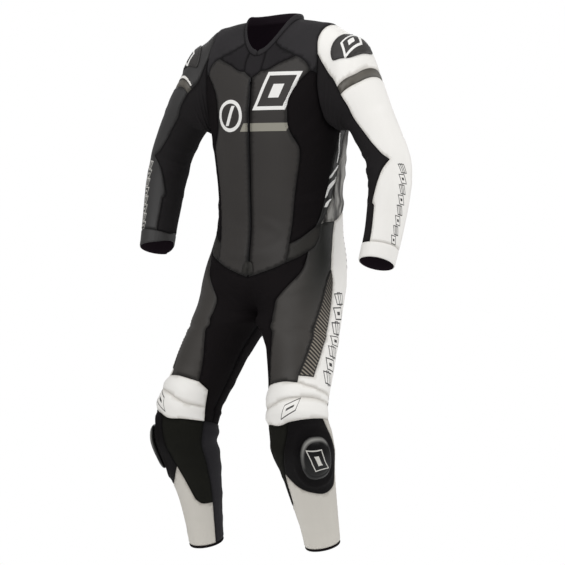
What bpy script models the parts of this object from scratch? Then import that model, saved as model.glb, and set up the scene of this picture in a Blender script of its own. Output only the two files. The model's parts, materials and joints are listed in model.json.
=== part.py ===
"""Motorcycle race suit, hollow, standing the way it is worn.

Every cut and sewn panel is a solid of its own: a wall of leather or stretch cloth on one shared
form. The form is made of half tubes. Each half of the trunk runs from the front centre line round
the side to the back centre line, and turns into a whole leg below the crotch. A sleeve starts on
the armhole, a closed line on the trunk. A place on a tube is (around, down): around is 0 to 1,
down is in millimetres along it. Seams are lines through a few such places, and a panel is the
cloth inside a loop of seams.

+X is the wearer's left, the chest faces -Y, +Z is up, and the origin is on the shoulder line.
"""
import math

import bpy
import numpy as np
from mathutils.geometry import delaunay_2d_cdt

METRES = 0.001          # lengths below are in millimetres
LEFT, RIGHT = 1, -1
SIDES = {"left": LEFT, "right": RIGHT}

# Cloth
LEATHER = 2.0
STRETCH = 1.5
SEAM_GAP = 0.3
SEAM_STEP = 26.0        # longest straight piece of a seam
GRID_ACROSS = 26.0      # spacing of the points inside a panel
GRID_DOWN = 38.0
TUBE_ROUND = 450.0      # what one turn round a tube counts for, when points are spread over it

# Heights that several pieces share
CROTCH = 745.0
LEG_HEM = 1295.0
LEG_END = 1302.0
CUFF_TOP = 592.0
SLEEVE_END = 630.0
ZIP_HALF = 0.0065

# The trunk, from the neck down. side, front and back are heights; half is half the width;
# fore and aft are the depths before and behind the middle; square is 2 for an ellipse.
TRUNK_COLUMNS = ("down", "side", "front", "back", "half", "fore", "aft", "middle", "square")
TRUNK = (
    (0,     37,   -54,   46,    77,   76,   66,   -8,  2.0),
    (36,    33,   -80,   30,    113,  92,   86,   -6,  2.05),
    (76,    22,   -110,  0,     160,  106,  104,  -1,  2.15),
    (118,   0,    -142,  -42,   194,  115,  117,  3,   2.25),
    (160,   -56,  -172,  -92,   204,  121,  125,  6,   2.35),
    (205,   -130, -200,  -152,  200,  127,  128,  8,   2.4),
    (255,   -236, -250,  -242,  190,  128,  126,  10,  2.35),
    (330,   -325, -328,  -325,  179,  125,  122,  10,  2.3),
    (420,   -415, -415,  -412,  173,  120,  122,  8,   2.25),
    (500,   -497, -497,  -494,  176,  115,  126,  4,   2.25),
    (575,   -568, -572,  -568,  189,  118,  130,  -4,  2.25),
    (650,   -645, -648,  -645,  197,  124,  130,  -18, 2.25),
    (760,   -745, -745,  -745,  200,  124,  124,  -30, 2.2),
)

# A leg. mix is how far the trunk has turned into it; inner is its distance from the middle plane;
# y and z place its centre; slope and splay tip each ring forwards and sideways.
LEG_COLUMNS = ("down", "mix", "inner", "y", "z", "half", "fore", "aft", "slope", "splay", "square")
LEG = (
    (560,  0.0,  0,   -5,   -565,  100, 110, 120, 0.00,  0.00, 2.0),
    (620,  0.10, 0,   -16,  -622,  100, 112, 114, 0.00,  0.00, 2.0),
    (680,  0.45, 0,   -34,  -682,  103, 114, 102, -0.03, 0.00, 2.0),
    (745,  1.0,  0,   -56,  -745,  106, 100, 100, -0.12, 0.04, 2.05),
    (762,  1.0,  15,  -63,  -761,  101, 98,  97,  -0.15, 0.07, 2.05),
    (800,  1.0,  43,  -80,  -795,  89,  90,  90,  -0.22, 0.16, 2.05),
    (880,  1.0,  77,  -112, -875,  75,  79,  76,  -0.26, 0.20, 2.1),
    (960,  1.0,  102, -142, -955,  71,  78,  70,  -0.18, 0.18, 2.1),
    (1020, 1.0,  112, -146, -1015, 71,  76,  76,  0.00,  0.10, 2.15),
    (1090, 1.0,  114, -120, -1085, 67,  70,  74,  0.20,  0.04, 2.1),
    (1170, 1.0,  125, -88,  -1165, 57,  58,  57,  0.26,  0.02, 2.0),
    (1240, 1.0,  137, -68,  -1238, 48,  50,  49,  0.26,  0.01, 2.0),
    (1302, 1.0,  144, -54,  -1302, 43,  46,  45,  0.26,  0.01, 2.0),
    (1312, 1.0,  146, -51,  -1312, 42,  45,  44,  0.26,  0.01, 2.0),
)

# A sleeve, from the armhole to the cuff. out and deep are the half widths of a ring,
# lean tips it outwards and swing forwards, in degrees.
ARM_COLUMNS = ("down", "mix", "x", "y", "z", "out", "deep", "lean", "swing")
ARM = (
    (0,    0.0,  190, 3,   -122, 110, 84, 80, 0),
    (95,   0.65, 229, 0,   -134, 114, 84, 69, 0),
    (175,  1.0,  262, -5,  -174, 81,  78, 57, 2),
    (255,  1.0,  292, -6,  -211, 62,  66, 32, 3),
    (320,  1.0,  323, -7,  -262, 56,  58, 25, 4),
    (390,  1.0,  349, -7,  -325, 52,  55, 14, 6),
    (470,  1.0,  361, -18, -403, 51,  52, 6,  12),
    (550,  1.0,  362, -37, -483, 47,  48, 2,  18),
    (630,  1.0,  359, -61, -560, 44,  46, 4,  24),
    (640,  1.0,  359, -65, -570, 43,  45, 4,  25),
)

# The armhole is a squared ellipse on the trunk
ARMHOLE_AROUND, ARMHOLE_DOWN = 0.5, 170.5
ARMHOLE_WIDE, ARMHOLE_HIGH = 0.185, 86.5
ARMHOLE_SQUARE = 2.3

# How each limb stands a little differently from its twin: how far it moves, and a sleeve's twist
# round the arm and slide up it
SLEEVE_POSE_COLUMNS = ("down", "x", "y", "z", "twist", "slide")
SLEEVE_POSE = {
    LEFT: (
        (0,   0,  0,  0,   0.0,    0),
        (120, 0,  0,  0,   -0.015, 0),
        (255, 0,  0,  -2,  -0.03,  0),
        (430, -2, -3, -6,  -0.03,  0),
        (640, -5, -6, -13, -0.03,  0),
    ),
    RIGHT: (
        (0,   0,   0, 0,  0.0,   0),
        (120, -5,  0, -3, 0.015, -12),
        (255, -2,  1, 3,  0.035, -18),
        (430, -2,  3, 8,  0.035, -8),
        (640, -5,  6, 15, 0.035, 0),
    ),
}
SHIN_POSE_COLUMNS = ("down", "x", "y", "z")
SHIN_POSE = {
    LEFT: ((0, 0, 0, 0), (1000, 0, 0, 0), (1100, -11, 11, 6), (1312, -26, 32, 19)),
    RIGHT: ((0, 0, 0, 0), (1000, 0, 0, 0), (1312, 0, 0, 0)),
}

# Soft rises of the cloth over padding and fullness: centre, reach each way, height
BULGE_COLUMNS = ("tube", "around", "down", "reach_around", "reach_down", "height")
BULGES = (
    ("leg",  0.30, 918,  0.22, 17,  6.0),
    ("leg",  0.30, 955,  0.22, 17,  7.0),
    ("leg",  0.40, 1040, 0.14, 60,  5.0),
    ("arm",  0.00, 120,  0.20, 60,  6.0),
    ("arm",  0.93, 392,  0.14, 60,  6.0),
    ("leg",  0.75, 640,  0.14, 90,  8.0),
    ("leg",  0.92, 1040, 0.12, 60,  8.0),
)

# Folds: a ridge, or a trough where the height is negative, from one place to another
FOLD_COLUMNS = ("tube", "around", "down", "to_around", "to_down", "width", "height")
FOLDS = (
    ("trunk", 0.47, 300,  0.70, 330,  13, 4.0),
    ("trunk", 0.55, 365,  0.75, 352,  13, 4.0),
    ("trunk", 0.45, 420,  0.72, 436,  14, 5.0),
    ("trunk", 0.34, 560,  0.10, 640,  16, -4.0),
    ("leg",   0.14, 640,  0.05, 720,  14, 3.0),
    ("leg",   0.62, 950,  0.98, 962,  13, -5.0),
    ("leg",   0.60, 990,  1.00, 1004, 14, 5.0),
    ("leg",   0.62, 1030, 0.98, 1040, 13, -4.0),
    ("arm",   0.30, 372,  0.60, 384,  12, -4.0),
    ("arm",   0.28, 404,  0.60, 412,  13, 4.0),
    ("arm",   0.40, 300,  0.62, 330,  13, 3.0),
)


def named_rows(table, columns, place):
    """A table's columns at the given places, smooth and never beyond its rows."""
    rows = np.array(table, float)
    knots, values = rows[:, 0], rows[:, 1:]
    place = np.clip(place, knots[0], knots[-1])
    span = np.diff(knots)[:, None]
    rise = np.diff(values, axis=0) / span
    slope = np.zeros_like(values)
    same_way = rise[:-1] * rise[1:] > 0
    safe = np.where(same_way, rise[:-1] * rise[1:], 1.0)
    mean = safe * (span[:-1] + span[1:]) / (span[:-1] * rise[1:] + span[1:] * rise[:-1] + (~same_way))
    slope[1:-1] = np.where(same_way, mean, 0.0)
    slope[0], slope[-1] = rise[0], rise[-1]
    row = np.clip(np.searchsorted(knots, place, side="right") - 1, 0, len(knots) - 2)
    reach = span[row, 0]
    t = ((place - knots[row]) / reach)[..., None]
    reach = reach[..., None]
    value = ((2 * t**3 - 3 * t**2 + 1) * values[row] + (t**3 - 2 * t**2 + t) * reach * slope[row]
             + (3 * t**2 - 2 * t**3) * values[row + 1] + (t**3 - t**2) * reach * slope[row + 1])
    return {name: value[..., k] for k, name in enumerate(columns[1:])}


def power(value, exponent):
    return np.sign(value) * np.abs(value) ** exponent


def unit(vectors):
    return vectors / np.linalg.norm(vectors, axis=-1, keepdims=True)


def trunk_form(around, down):
    row = named_rows(TRUNK, TRUNK_COLUMNS, down)
    angle = math.pi * around
    forward, squareness = np.cos(angle), 2 / row["square"]
    x = row["half"] * power(np.sin(angle), squareness)
    y = row["middle"] - np.where(forward > 0, row["fore"], row["aft"]) * power(forward, squareness)
    end = np.where(forward > 0, row["front"], row["back"])
    z = row["side"] + (end - row["side"]) * forward**2
    return np.stack([x, y, z], -1)


def leg_form(around, down):
    row = named_rows(LEG, LEG_COLUMNS, down)
    angle = 2 * math.pi * around
    squareness = 2 / row["square"]
    across = -row["half"] * power(np.cos(angle), squareness)
    front = np.sin(angle)
    along = -np.where(front > 0, row["fore"], row["aft"]) * power(front, squareness)
    x = row["inner"] + row["half"] + across
    z = row["z"] + row["slope"] * along + row["splay"] * across
    return np.stack([x, row["y"] + along, z], -1)


def body_form(around, down):
    """The left half of the trunk, and the left leg below it."""
    mix = named_rows(LEG, LEG_COLUMNS, down)["mix"][..., None]
    return (1 - mix) * trunk_form(around, down) + mix * leg_form(around, down)


def armhole_place(turn):
    """turn is 0 on the shoulder, 0.25 in front and 0.5 under the arm."""
    angle = 2 * math.pi * np.asarray(turn, float)
    around = ARMHOLE_AROUND - ARMHOLE_WIDE * power(np.sin(angle), 2 / ARMHOLE_SQUARE)
    down = ARMHOLE_DOWN - ARMHOLE_HIGH * power(np.cos(angle), 2 / ARMHOLE_SQUARE)
    return around, down


def arm_form(around, down):
    row = named_rows(ARM, ARM_COLUMNS, down)
    angle = 2 * math.pi * around
    lean, swing = np.radians(row["lean"]), np.radians(row["swing"])
    axis = np.stack([np.sin(lean), -np.sin(swing) * np.cos(lean), -np.cos(swing) * np.cos(lean)], -1)
    outward = np.stack([np.cos(lean), 0 * lean, np.sin(lean)], -1)
    front = unit(np.cross(axis, outward))
    front = np.where(front[..., 1:2] > 0, -front, front)
    outward = unit(np.cross(axis, front))
    outward = np.where(outward[..., 0:1] < 0, -outward, outward)
    centre = np.stack([row["x"], row["y"], row["z"]], -1)
    ring = (centre + (row["out"] * np.cos(angle))[..., None] * outward
            + (row["deep"] * np.sin(angle))[..., None] * front)
    start = np.array(ARM[0][2:5], float)
    hole = left_body(*armhole_place(around)) + centre - start
    mix = row["mix"][..., None]
    return (1 - mix) * hole + mix * ring


def ramp(value, start, end):
    t = np.clip((value - start) / (end - start), 0, 1)
    return t * t * (3 - 2 * t)


def lift_at(tubes, wraps, around, down):
    """How far the bulges and folds of the named tubes raise the cloth."""
    lift = np.zeros(np.broadcast(around, down).shape)
    for tube, centre, middle, reach, height_reach, height in BULGES:
        if tube in tubes:
            off = around - centre
            off = np.where(wraps, (off + 0.5) % 1 - 0.5, off)
            lift += height * np.exp(-(off / reach) ** 2 - ((down - middle) / height_reach) ** 2)
    for tube, a0, d0, a1, d1, width, height in FOLDS:
        if tube in tubes:
            run = np.array([(a1 - a0) * TUBE_ROUND, d1 - d0])
            off = np.stack([(around - a0) * TUBE_ROUND, down - d0 + 0 * around], -1)
            t = np.clip(off @ run / (run @ run), 0, 1)
            away = np.linalg.norm(off - t[..., None] * run, axis=-1)
            ends = np.sin(math.pi * (0.1 + 0.8 * t))
            lift += height * ends * np.exp(-(away / width) ** 2)
    return lift


def body_lift(around, down):
    lift = lift_at(("trunk", "leg"), down > CROTCH, around, down)
    past = np.minimum(around, 1 - around) / 0.06
    centre = np.clip(past, 0, 1) ** 2 * (3 - 2 * np.clip(past, 0, 1))
    return lift * np.where(down < CROTCH + 30, centre, 1)


def arm_lift(around, down):
    return lift_at(("arm",), True, around, down) * ramp(down, 0, 60)


def form_normal(form, around, down):
    """Square to a left-hand form."""
    step_around, step_down = 2e-3, 0.8
    across = form(around + step_around, down) - form(around - step_around, down)
    along = form(around, down + step_down) - form(around, down - step_down)
    return unit(np.cross(along, across))


def left_body(around, down):
    lift = body_lift(around, down)[..., None]
    return body_form(around, down) + lift * form_normal(body_form, around, down)


def left_arm(around, down):
    lift = arm_lift(around, down)[..., None]
    return arm_form(around, down) - lift * form_normal(arm_form, around, down)


def cloth_point(tube, side, around, down):
    """The outer face of the cloth at a place, in its own side's pose."""
    around, down = np.asarray(around, float), np.asarray(down, float)
    if tube == "arm":
        pose = named_rows(SLEEVE_POSE[side], SLEEVE_POSE_COLUMNS, down)
        points = left_arm(around + pose["twist"], down + pose["slide"])
    else:
        pose = named_rows(SHIN_POSE[side], SHIN_POSE_COLUMNS, down)
        points = left_body(around, down)
    move = np.stack([pose["x"], pose["y"], pose["z"]], -1)
    return (points + move) * np.array([side, 1, 1])


def cloth_normal(tube, side, around, down):
    """The outward direction of the cloth at a place."""
    around, down = np.asarray(around, float), np.asarray(down, float)
    here = cloth_point(tube, side, around, down)
    step_around, step_down = 2e-3, 0.8
    across = (cloth_point(tube, side, around + step_around, down)
              - cloth_point(tube, side, around - step_around, down))
    along = (cloth_point(tube, side, around, down + step_down)
             - cloth_point(tube, side, around, np.maximum(down - step_down, 0)))
    normal = unit(np.cross(along, across)) * side
    if tube == "arm":
        normal = -normal
        edge = down <= 0
        if np.any(edge):
            trunk = cloth_normal("body", side, *armhole_place(around))
            normal = np.where(edge[..., None], unit(normal + trunk), normal)
        return normal
    centre = (np.abs(here[..., 0]) < 1e-6) & (down < CROTCH)
    flat = along * np.array([0, 1, 1])
    facing = np.where(around < 0.5, -1.0, 1.0)
    upright = unit(np.stack([0 * down, -facing * flat[..., 2], facing * flat[..., 1]], -1) + 1e-9)
    normal = np.where(centre[..., None], upright, normal)
    crotch = (np.abs(here[..., 0]) < 1e-6) & (down == CROTCH)
    return np.where(crotch[..., None], np.array([0.0, 0.0, -1.0]), normal)


# Where seams meet, as (around, down)
PLACES = {
    "neck_front": (0, 0), "neck_garage": (0.105, 0), "neck_yoke": (0.205, 0),
    "neck_rear": (0.80, 0), "neck_back": (1, 0),
    "garage_side": (0.052, 60), "zip_head": (ZIP_HALF, 77), "zip_top": (0, 79),
    "zip_foot": (ZIP_HALF, 612), "zip_end": (0, 613),
    "yoke_corner": (0.235, 90), "leather_tip": (0.275, 153),
    "hip_front": (0.193, 530), "hem_front": (0.175, 578), "hem_thigh": (0.300, 550),
    "band_low": (0.345, 538), "band_strip": (0.355, 487), "strip_end": (0.395, 480),
    "hip_white": (0.505, 474), "hip_rear": (0.66, 448),
    "lumbar_top": (1, 380), "lumbar_low": (1, 488),
    "rib_top": (0.457, 597), "rib_outer": (0.437, 878), "rib_inner": (0.352, 877),
    "knee_top": (0.347, 893), "thigh_knee": (0.150, 888),
    "knee_inner_top": (0.085, 900), "knee_inner_mid": (0.060, 938), "knee_inner_low": (0.045, 972),
    "knee_outer_top": (0.552, 916), "knee_outer_mid": (0.540, 930), "knee_outer_low": (0.515, 971),
    "shin_top": (0.300, 977), "shin_fork": (0.228, 1088), "shin_corner": (0.175, 1172),
    "shin_rear": (0.050, 1190), "shin_foot": (0.045, LEG_HEM), "shin_foot_rear": (0.63, LEG_HEM),
    "backing_rear": (0.572, 1090), "crotch": (0, CROTCH), "crotch_back": (1, CROTCH),
    "inseam_knee": (0, 972), "inseam_knee_back": (1, 972), "seat_side": (0.668, 750),
    "sleeve_band_front": (0.254, 134), "sleeve_band_rear": (-0.25, 140),
    "sleeve_low_front": (0.257, 160), "sleeve_low_rear": (-0.252, 163),
    "sleeve_tip": (0.161, 391), "cuff_front": (0.260, CUFF_TOP), "cuff_rear": (-0.31, CUFF_TOP),
    "shin_foot_round": (1.045, LEG_HEM), "cuff_rear_round": (0.69, CUFF_TOP),
}

# The armhole's own places, as turns of it
TURNS = {"cap_rear": -0.22, "cap_front": 0.215, "tip": 0.25, "pit": 0.5, "strip": 0.545,
         "rear": 0.75, "cap_rear_under": 0.78, "tip_over": 1.25}
PLACES.update({"armhole_" + name: armhole_place(turn) for name, turn in TURNS.items()})
PLACES["arm_cap_front"] = (TURNS["cap_front"], 0)
PLACES["arm_cap_rear"] = (TURNS["cap_rear"], 0)

# Seams: the tube, the place it starts from, the places it passes through and where it ends
SEAMS = {
    "neck_garage": ("body", "neck_front", (), "neck_garage"),
    "neck_yoke": ("body", "neck_garage", (), "neck_yoke"),
    "neck_shoulder": ("body", "neck_yoke", ((0.35, 0), (0.5, 0), (0.65, 0)), "neck_rear"),
    "neck_back": ("body", "neck_rear", (), "neck_back"),
    "garage_flank": ("body", "neck_garage", ((0.078, 32),), "garage_side"),
    "garage_foot": ("body", "garage_side", (), "zip_head"),
    "zip_crown": ("body", "zip_head", (), "zip_top"),
    "garage_centre": ("body", "neck_front", (), "zip_top"),
    "yoke_side": ("body", "neck_yoke", ((0.212, 38),), "yoke_corner"),
    "yoke_front": ("body", "garage_side", ((0.09, 66), (0.15, 70)), "yoke_corner"),
    "yoke_outer": ("body", "yoke_corner", ((0.253, 120),), "leather_tip"),
    "tip_armhole": ("body", "leather_tip", (), "armhole_tip"),
    "leather_edge": ("body", "leather_tip",
                     ((0.225, 156), (0.182, 171), (0.163, 200), (0.168, 235), (0.192, 261),
                      (0.245, 296), (0.250, 312), (0.238, 375), (0.213, 476)), "hip_front"),
    "leather_foot": ("body", "hip_front", (), "hem_front"),
    "zip_side": ("body", "zip_head", ((ZIP_HALF, 200), (ZIP_HALF, 400)), "zip_foot"),
    "zip_centre": ("body", "zip_top", ((0, 200), (0, 400)), "zip_end"),
    "hem_zip": ("body", "zip_end", (), "zip_foot"),
    "hem_front": ("body", "zip_foot", ((0.05, 603), (0.12, 590)), "hem_front"),
    "hem_band": ("body", "hem_front", ((0.24, 565),), "hem_thigh"),
    "band_top": ("body", "hip_front", ((0.255, 516), (0.31, 500)), "band_strip"),
    "band_end": ("body", "band_strip", (), "strip_end"),
    "band_rear": ("body", "strip_end", ((0.38, 512),), "band_low"),
    "band_foot": ("body", "band_low", (), "hem_thigh"),
    "strip_front": ("body", "armhole_pit",
                    ((0.47, 323), (0.455, 367), (0.430, 411), (0.400, 453)), "band_strip"),
    "strip_rear": ("body", "armhole_strip", ((0.537, 290), (0.512, 357), (0.475, 424)), "strip_end"),
    "hip_top": ("body", "strip_end", ((0.445, 476),), "hip_white"),
    "hip_top_rear": ("body", "hip_white", ((0.60, 457),), "hip_rear"),
    "lumbar_top": ("body", "hip_rear", ((0.72, 403), (0.82, 386)), "lumbar_top"),
    "lumbar_low": ("body", "hip_rear", ((0.75, 474), (0.87, 485)), "lumbar_low"),
    "shoulder_rear": ("body", "neck_rear", ((0.765, 80),), "armhole_rear"),
    "white_front": ("body", "hip_white", ((0.482, 528), (0.462, 565)), "rib_top"),
    "rib_rear": ("body", "rib_top", ((0.476, 632), (0.473, 733), (0.456, 830)), "rib_outer"),
    "rib_front": ("body", "rib_top",
                  ((0.427, 630), (0.415, 690), (0.405, 760), (0.385, 825)), "rib_inner"),
    "rib_foot": ("body", "rib_outer", (), "rib_inner"),
    "step": ("body", "rib_inner", (), "knee_top"),
    "thigh_inner": ("body", "hem_thigh",
                    ((0.286, 575), (0.240, 600), (0.192, 634), (0.172, 668), (0.179, 701),
                     (0.182, 750), (0.170, 792), (0.153, 850)), "thigh_knee"),
    "knee_top_inner": ("body", "knee_inner_top", (), "thigh_knee"),
    "knee_top_front": ("body", "thigh_knee", ((0.25, 888),), "knee_top"),
    "knee_top_outer": ("body", "knee_top", ((0.45, 903),), "knee_outer_top"),
    "knee_inner_upper": ("body", "knee_inner_top", (), "knee_inner_mid"),
    "knee_inner_lower": ("body", "knee_inner_mid", (), "knee_inner_low"),
    "knee_outer_upper": ("body", "knee_outer_top", (), "knee_outer_mid"),
    "knee_outer_lower": ("body", "knee_outer_mid", (), "knee_outer_low"),
    "knee_mid": ("body", "knee_inner_mid", ((0.16, 941), (0.31, 928), (0.42, 925)), "knee_outer_mid"),
    "knee_low_inner": ("body", "knee_inner_low", ((0.17, 977), (0.245, 982)), "shin_top"),
    "knee_low_outer": ("body", "shin_top", ((0.43, 972),), "knee_outer_low"),
    "white_rear": ("body", "hip_rear", ((0.664, 560), (0.668, 660)), "seat_side"),
    "white_rear_low": ("body", "seat_side", ((0.668, 800), (0.625, 870)), "knee_outer_top"),
    "seat_foot": ("body", "seat_side", ((0.80, 775), (0.93, 764)), "crotch_back"),
    "groin_centre": ("body", "zip_end", (), "crotch"),
    "seat_centre": ("body", "lumbar_low", (), "crotch_back"),
    "lumbar_centre": ("body", "lumbar_top", (), "lumbar_low"),
    "back_centre": ("body", "neck_back", ((1, 120), (1, 250)), "lumbar_top"),
    "inseam": ("body", "crotch", ((0, 800), (0, 880)), "inseam_knee"),
    "calf_top_inner": ("body", "knee_inner_low", (), "inseam_knee"),
    "calf_top": ("body", "inseam_knee_back", ((0.85, 980), (0.70, 988)), "knee_outer_low"),
    "backing_front": ("body", "shin_top", ((0.258, 1035),), "shin_fork"),
    "backing_foot": ("body", "shin_fork",
                     ((0.290, 1119), (0.353, 1136), (0.450, 1147), (0.535, 1130)), "backing_rear"),
    "backing_outer": ("body", "knee_outer_low", ((0.568, 1010), (0.585, 1045)), "backing_rear"),
    "shin_front": ("body", "shin_fork", ((0.207, 1120), (0.19, 1150)), "shin_corner"),
    "shin_fabric_foot": ("body", "shin_corner", ((0.13, 1186),), "shin_rear"),
    "calf_front": ("body", "knee_inner_low", ((0.04, 1080),), "shin_rear"),
    "calf_front_low": ("body", "shin_rear", (), "shin_foot"),
    "shin_outer": ("body", "backing_rear", ((0.615, 1150),), "shin_foot_rear"),
    "hem_shin": ("body", "shin_foot", (), "shin_foot_rear"),
    "hem_calf": ("body", "shin_foot_rear", (), "shin_foot_round"),
    "cap_front": ("arm", "arm_cap_front", ((0.240, 70),), "sleeve_band_front"),
    "cap_rear": ("arm", "arm_cap_rear", ((-0.235, 70),), "sleeve_band_rear"),
    "sleeve_band_top": ("arm", "sleeve_band_rear",
                        ((-0.15, 158), (0, 162), (0.12, 160)), "sleeve_band_front"),
    "sleeve_band_low": ("arm", "sleeve_low_rear",
                        ((-0.15, 179), (0, 183), (0.12, 182)), "sleeve_low_front"),
    "sleeve_band_front": ("arm", "sleeve_band_front", (), "sleeve_low_front"),
    "sleeve_band_rear": ("arm", "sleeve_band_rear", (), "sleeve_low_rear"),
    "sleeve_front_upper": ("arm", "sleeve_low_front",
                           ((0.267, 209), (0.290, 270), (0.262, 330), (0.213, 372)), "sleeve_tip"),
    "sleeve_front_lower": ("arm", "sleeve_tip",
                           ((0.225, 415), (0.266, 452), (0.280, 490), (0.275, 535)), "cuff_front"),
    "sleeve_rear": ("arm", "sleeve_low_rear", ((-0.26, 260), (-0.24, 386), (-0.28, 470)), "cuff_rear"),
    "cuff_outer": ("arm", "cuff_rear", ((-0.15, CUFF_TOP), (0, CUFF_TOP), (0.15, CUFF_TOP)), "cuff_front"),
    "cuff_inner": ("arm", "cuff_front", ((0.4, CUFF_TOP), (0.5, CUFF_TOP), (0.6, CUFF_TOP)),
                   "cuff_rear_round"),
}

# Panels of both sides: the tube, the cloth and the seams round them. A minus sign runs a seam
# backwards, "+1" reads it one turn further round, and "armhole A B" is the armhole between turns.
PANELS = {
    "chest_yoke": ("body", STRETCH, ("neck_yoke", "yoke_side", "-yoke_front", "-garage_flank")),
    "shoulder_panel": ("body", LEATHER, ("neck_shoulder", "shoulder_rear", "armhole rear tip_over",
                                         "-tip_armhole", "-yoke_outer", "-yoke_side")),
    "front_panel": ("body", LEATHER, ("-garage_foot", "yoke_front", "yoke_outer", "leather_edge",
                                      "leather_foot", "-hem_front", "-zip_side")),
    "side_stretch": ("body", STRETCH, ("tip_armhole", "armhole tip pit", "strip_front", "-band_top",
                                       "-leather_edge")),
    "flank_strip": ("body", LEATHER, ("armhole pit strip", "strip_rear", "-band_end", "-strip_front")),
    "hip_band": ("body", LEATHER, ("band_top", "band_end", "band_rear", "band_foot", "-hem_band",
                                   "-leather_foot")),
    "thigh_front": ("body", LEATHER, ("-band_foot", "-band_rear", "hip_top", "white_front",
                                      "rib_front", "step", "-knee_top_front", "-thigh_inner")),
    "outer_thigh": ("body", LEATHER, ("hip_top_rear", "white_rear", "white_rear_low",
                                      "-knee_top_outer", "-step", "-rib_foot", "-rib_rear",
                                      "-white_front")),
    "thigh_back": ("body", STRETCH, ("-seat_foot", "white_rear_low", "knee_outer_upper",
                                     "knee_outer_lower", "-calf_top", "-inseam+1")),
    "knee_upper": ("body", LEATHER, ("knee_top_inner", "knee_top_front", "knee_top_outer",
                                     "knee_outer_upper", "-knee_mid", "-knee_inner_upper")),
    "knee_lower": ("body", LEATHER, ("knee_mid", "knee_outer_lower", "-knee_low_outer",
                                     "-knee_low_inner", "-knee_inner_lower")),
    "shin_fabric": ("body", STRETCH, ("knee_low_inner", "backing_front", "shin_front",
                                      "shin_fabric_foot", "-calf_front")),
    "slider_backing": ("body", LEATHER, ("knee_low_outer", "backing_outer", "-backing_foot",
                                         "-backing_front")),
    "shin": ("body", LEATHER, ("backing_foot", "shin_outer", "-hem_shin", "-calf_front_low",
                               "-shin_fabric_foot", "-shin_front")),
    "calf": ("body", STRETCH, ("-calf_top", "-calf_top_inner+1", "calf_front+1", "calf_front_low+1",
                               "-hem_calf", "-shin_outer", "-backing_outer")),
    "shoulder_cap": ("arm", LEATHER, ("armhole cap_rear cap_front", "cap_front", "-sleeve_band_top",
                                      "-cap_rear")),
    "sleeve_band": ("arm", LEATHER, ("sleeve_band_top", "sleeve_band_front", "-sleeve_band_low",
                                     "-sleeve_band_rear")),
    "sleeve": ("arm", LEATHER, ("sleeve_band_low", "sleeve_front_upper", "sleeve_front_lower",
                                "-cuff_outer", "-sleeve_rear")),
    "inner_sleeve": ("arm", STRETCH, ("armhole cap_front cap_rear_under", "cap_rear+1",
                                      "sleeve_band_rear+1", "sleeve_rear+1", "-cuff_inner",
                                      "-sleeve_front_lower", "-sleeve_front_upper",
                                      "-sleeve_band_front", "-cap_front")),
}

# Panels that run across the middle, given as their left half
CENTRE_PANELS = {
    "garage": (LEATHER, ("neck_garage", "garage_flank", "garage_foot", "zip_crown", "-garage_centre")),
    "zip": (LEATHER, ("-zip_crown", "zip_side", "-hem_zip", "-zip_centre")),
    "groin": (STRETCH, ("hem_zip", "hem_front", "hem_band", "thigh_inner", "-knee_top_inner",
                        "knee_inner_upper", "knee_inner_lower", "calf_top_inner", "-inseam",
                        "-groin_centre")),
    "back_panel": (LEATHER, ("neck_back", "back_centre", "-lumbar_top", "-hip_top_rear", "-hip_top",
                             "-strip_rear", "armhole strip rear", "-shoulder_rear")),
    "lumbar": (STRETCH, ("lumbar_top", "lumbar_centre", "-lumbar_low")),
    "seat": (LEATHER, ("lumbar_low", "seat_centre", "-seat_foot", "-white_rear")),
}

# The collar's section, as (out, up) from the neck edge
COLLAR = ((-0.2, 0.15), (0.9, 5), (0.7, 10), (-0.8, 13), (-3.0, 14), (-5.0, 12.6), (-5.6, 9),
          (-4.6, 4), (-3.2, 0.15))
COLLAR_UPRIGHT = 0.75

# The ribbed panel on the thigh
RIB_PITCH = 11.5
RIB_HEIGHT = 2.2
RIB_SLANT = 9.0
RIB_COLUMNS = (0.0, 0.12, 0.5, 0.88, 1.0)

# What lies on a panel: the knee slider, the shoulder shield and the guard at the zip's foot
SLIDER_PLACE = (0.430, 1056)
SLIDER_REACH = (0.084, 49)
SLIDER_SECTION = ((1.0, 1.3), (1.02, 4), (0.95, 7.5), (0.76, 9.5), (0.42, 10.5))
SLIDER_BASE = (0.72, 0.36)
SLIDER_SIDES = 28
SLIDER_SQUARE = 2.6
OVERLAY_LIFT = 1.1
OVERLAY_STEP = 11.0
SHIELD_THICK = 2.4
SHIELD = ((0.190, 80), (0.160, 61), (0.110, 57), (0.04, 61), (-0.015, 74), (-0.045, 102),
          (-0.038, 130), (0.0, 137), (0.06, 135), (0.125, 127), (0.175, 100))
GUARD_THICK = 1.4
GUARD = ((0, 574), (0.012, 577), (0.021, 586), (0.024, 600), (0.012, 606), (0, 608))

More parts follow.
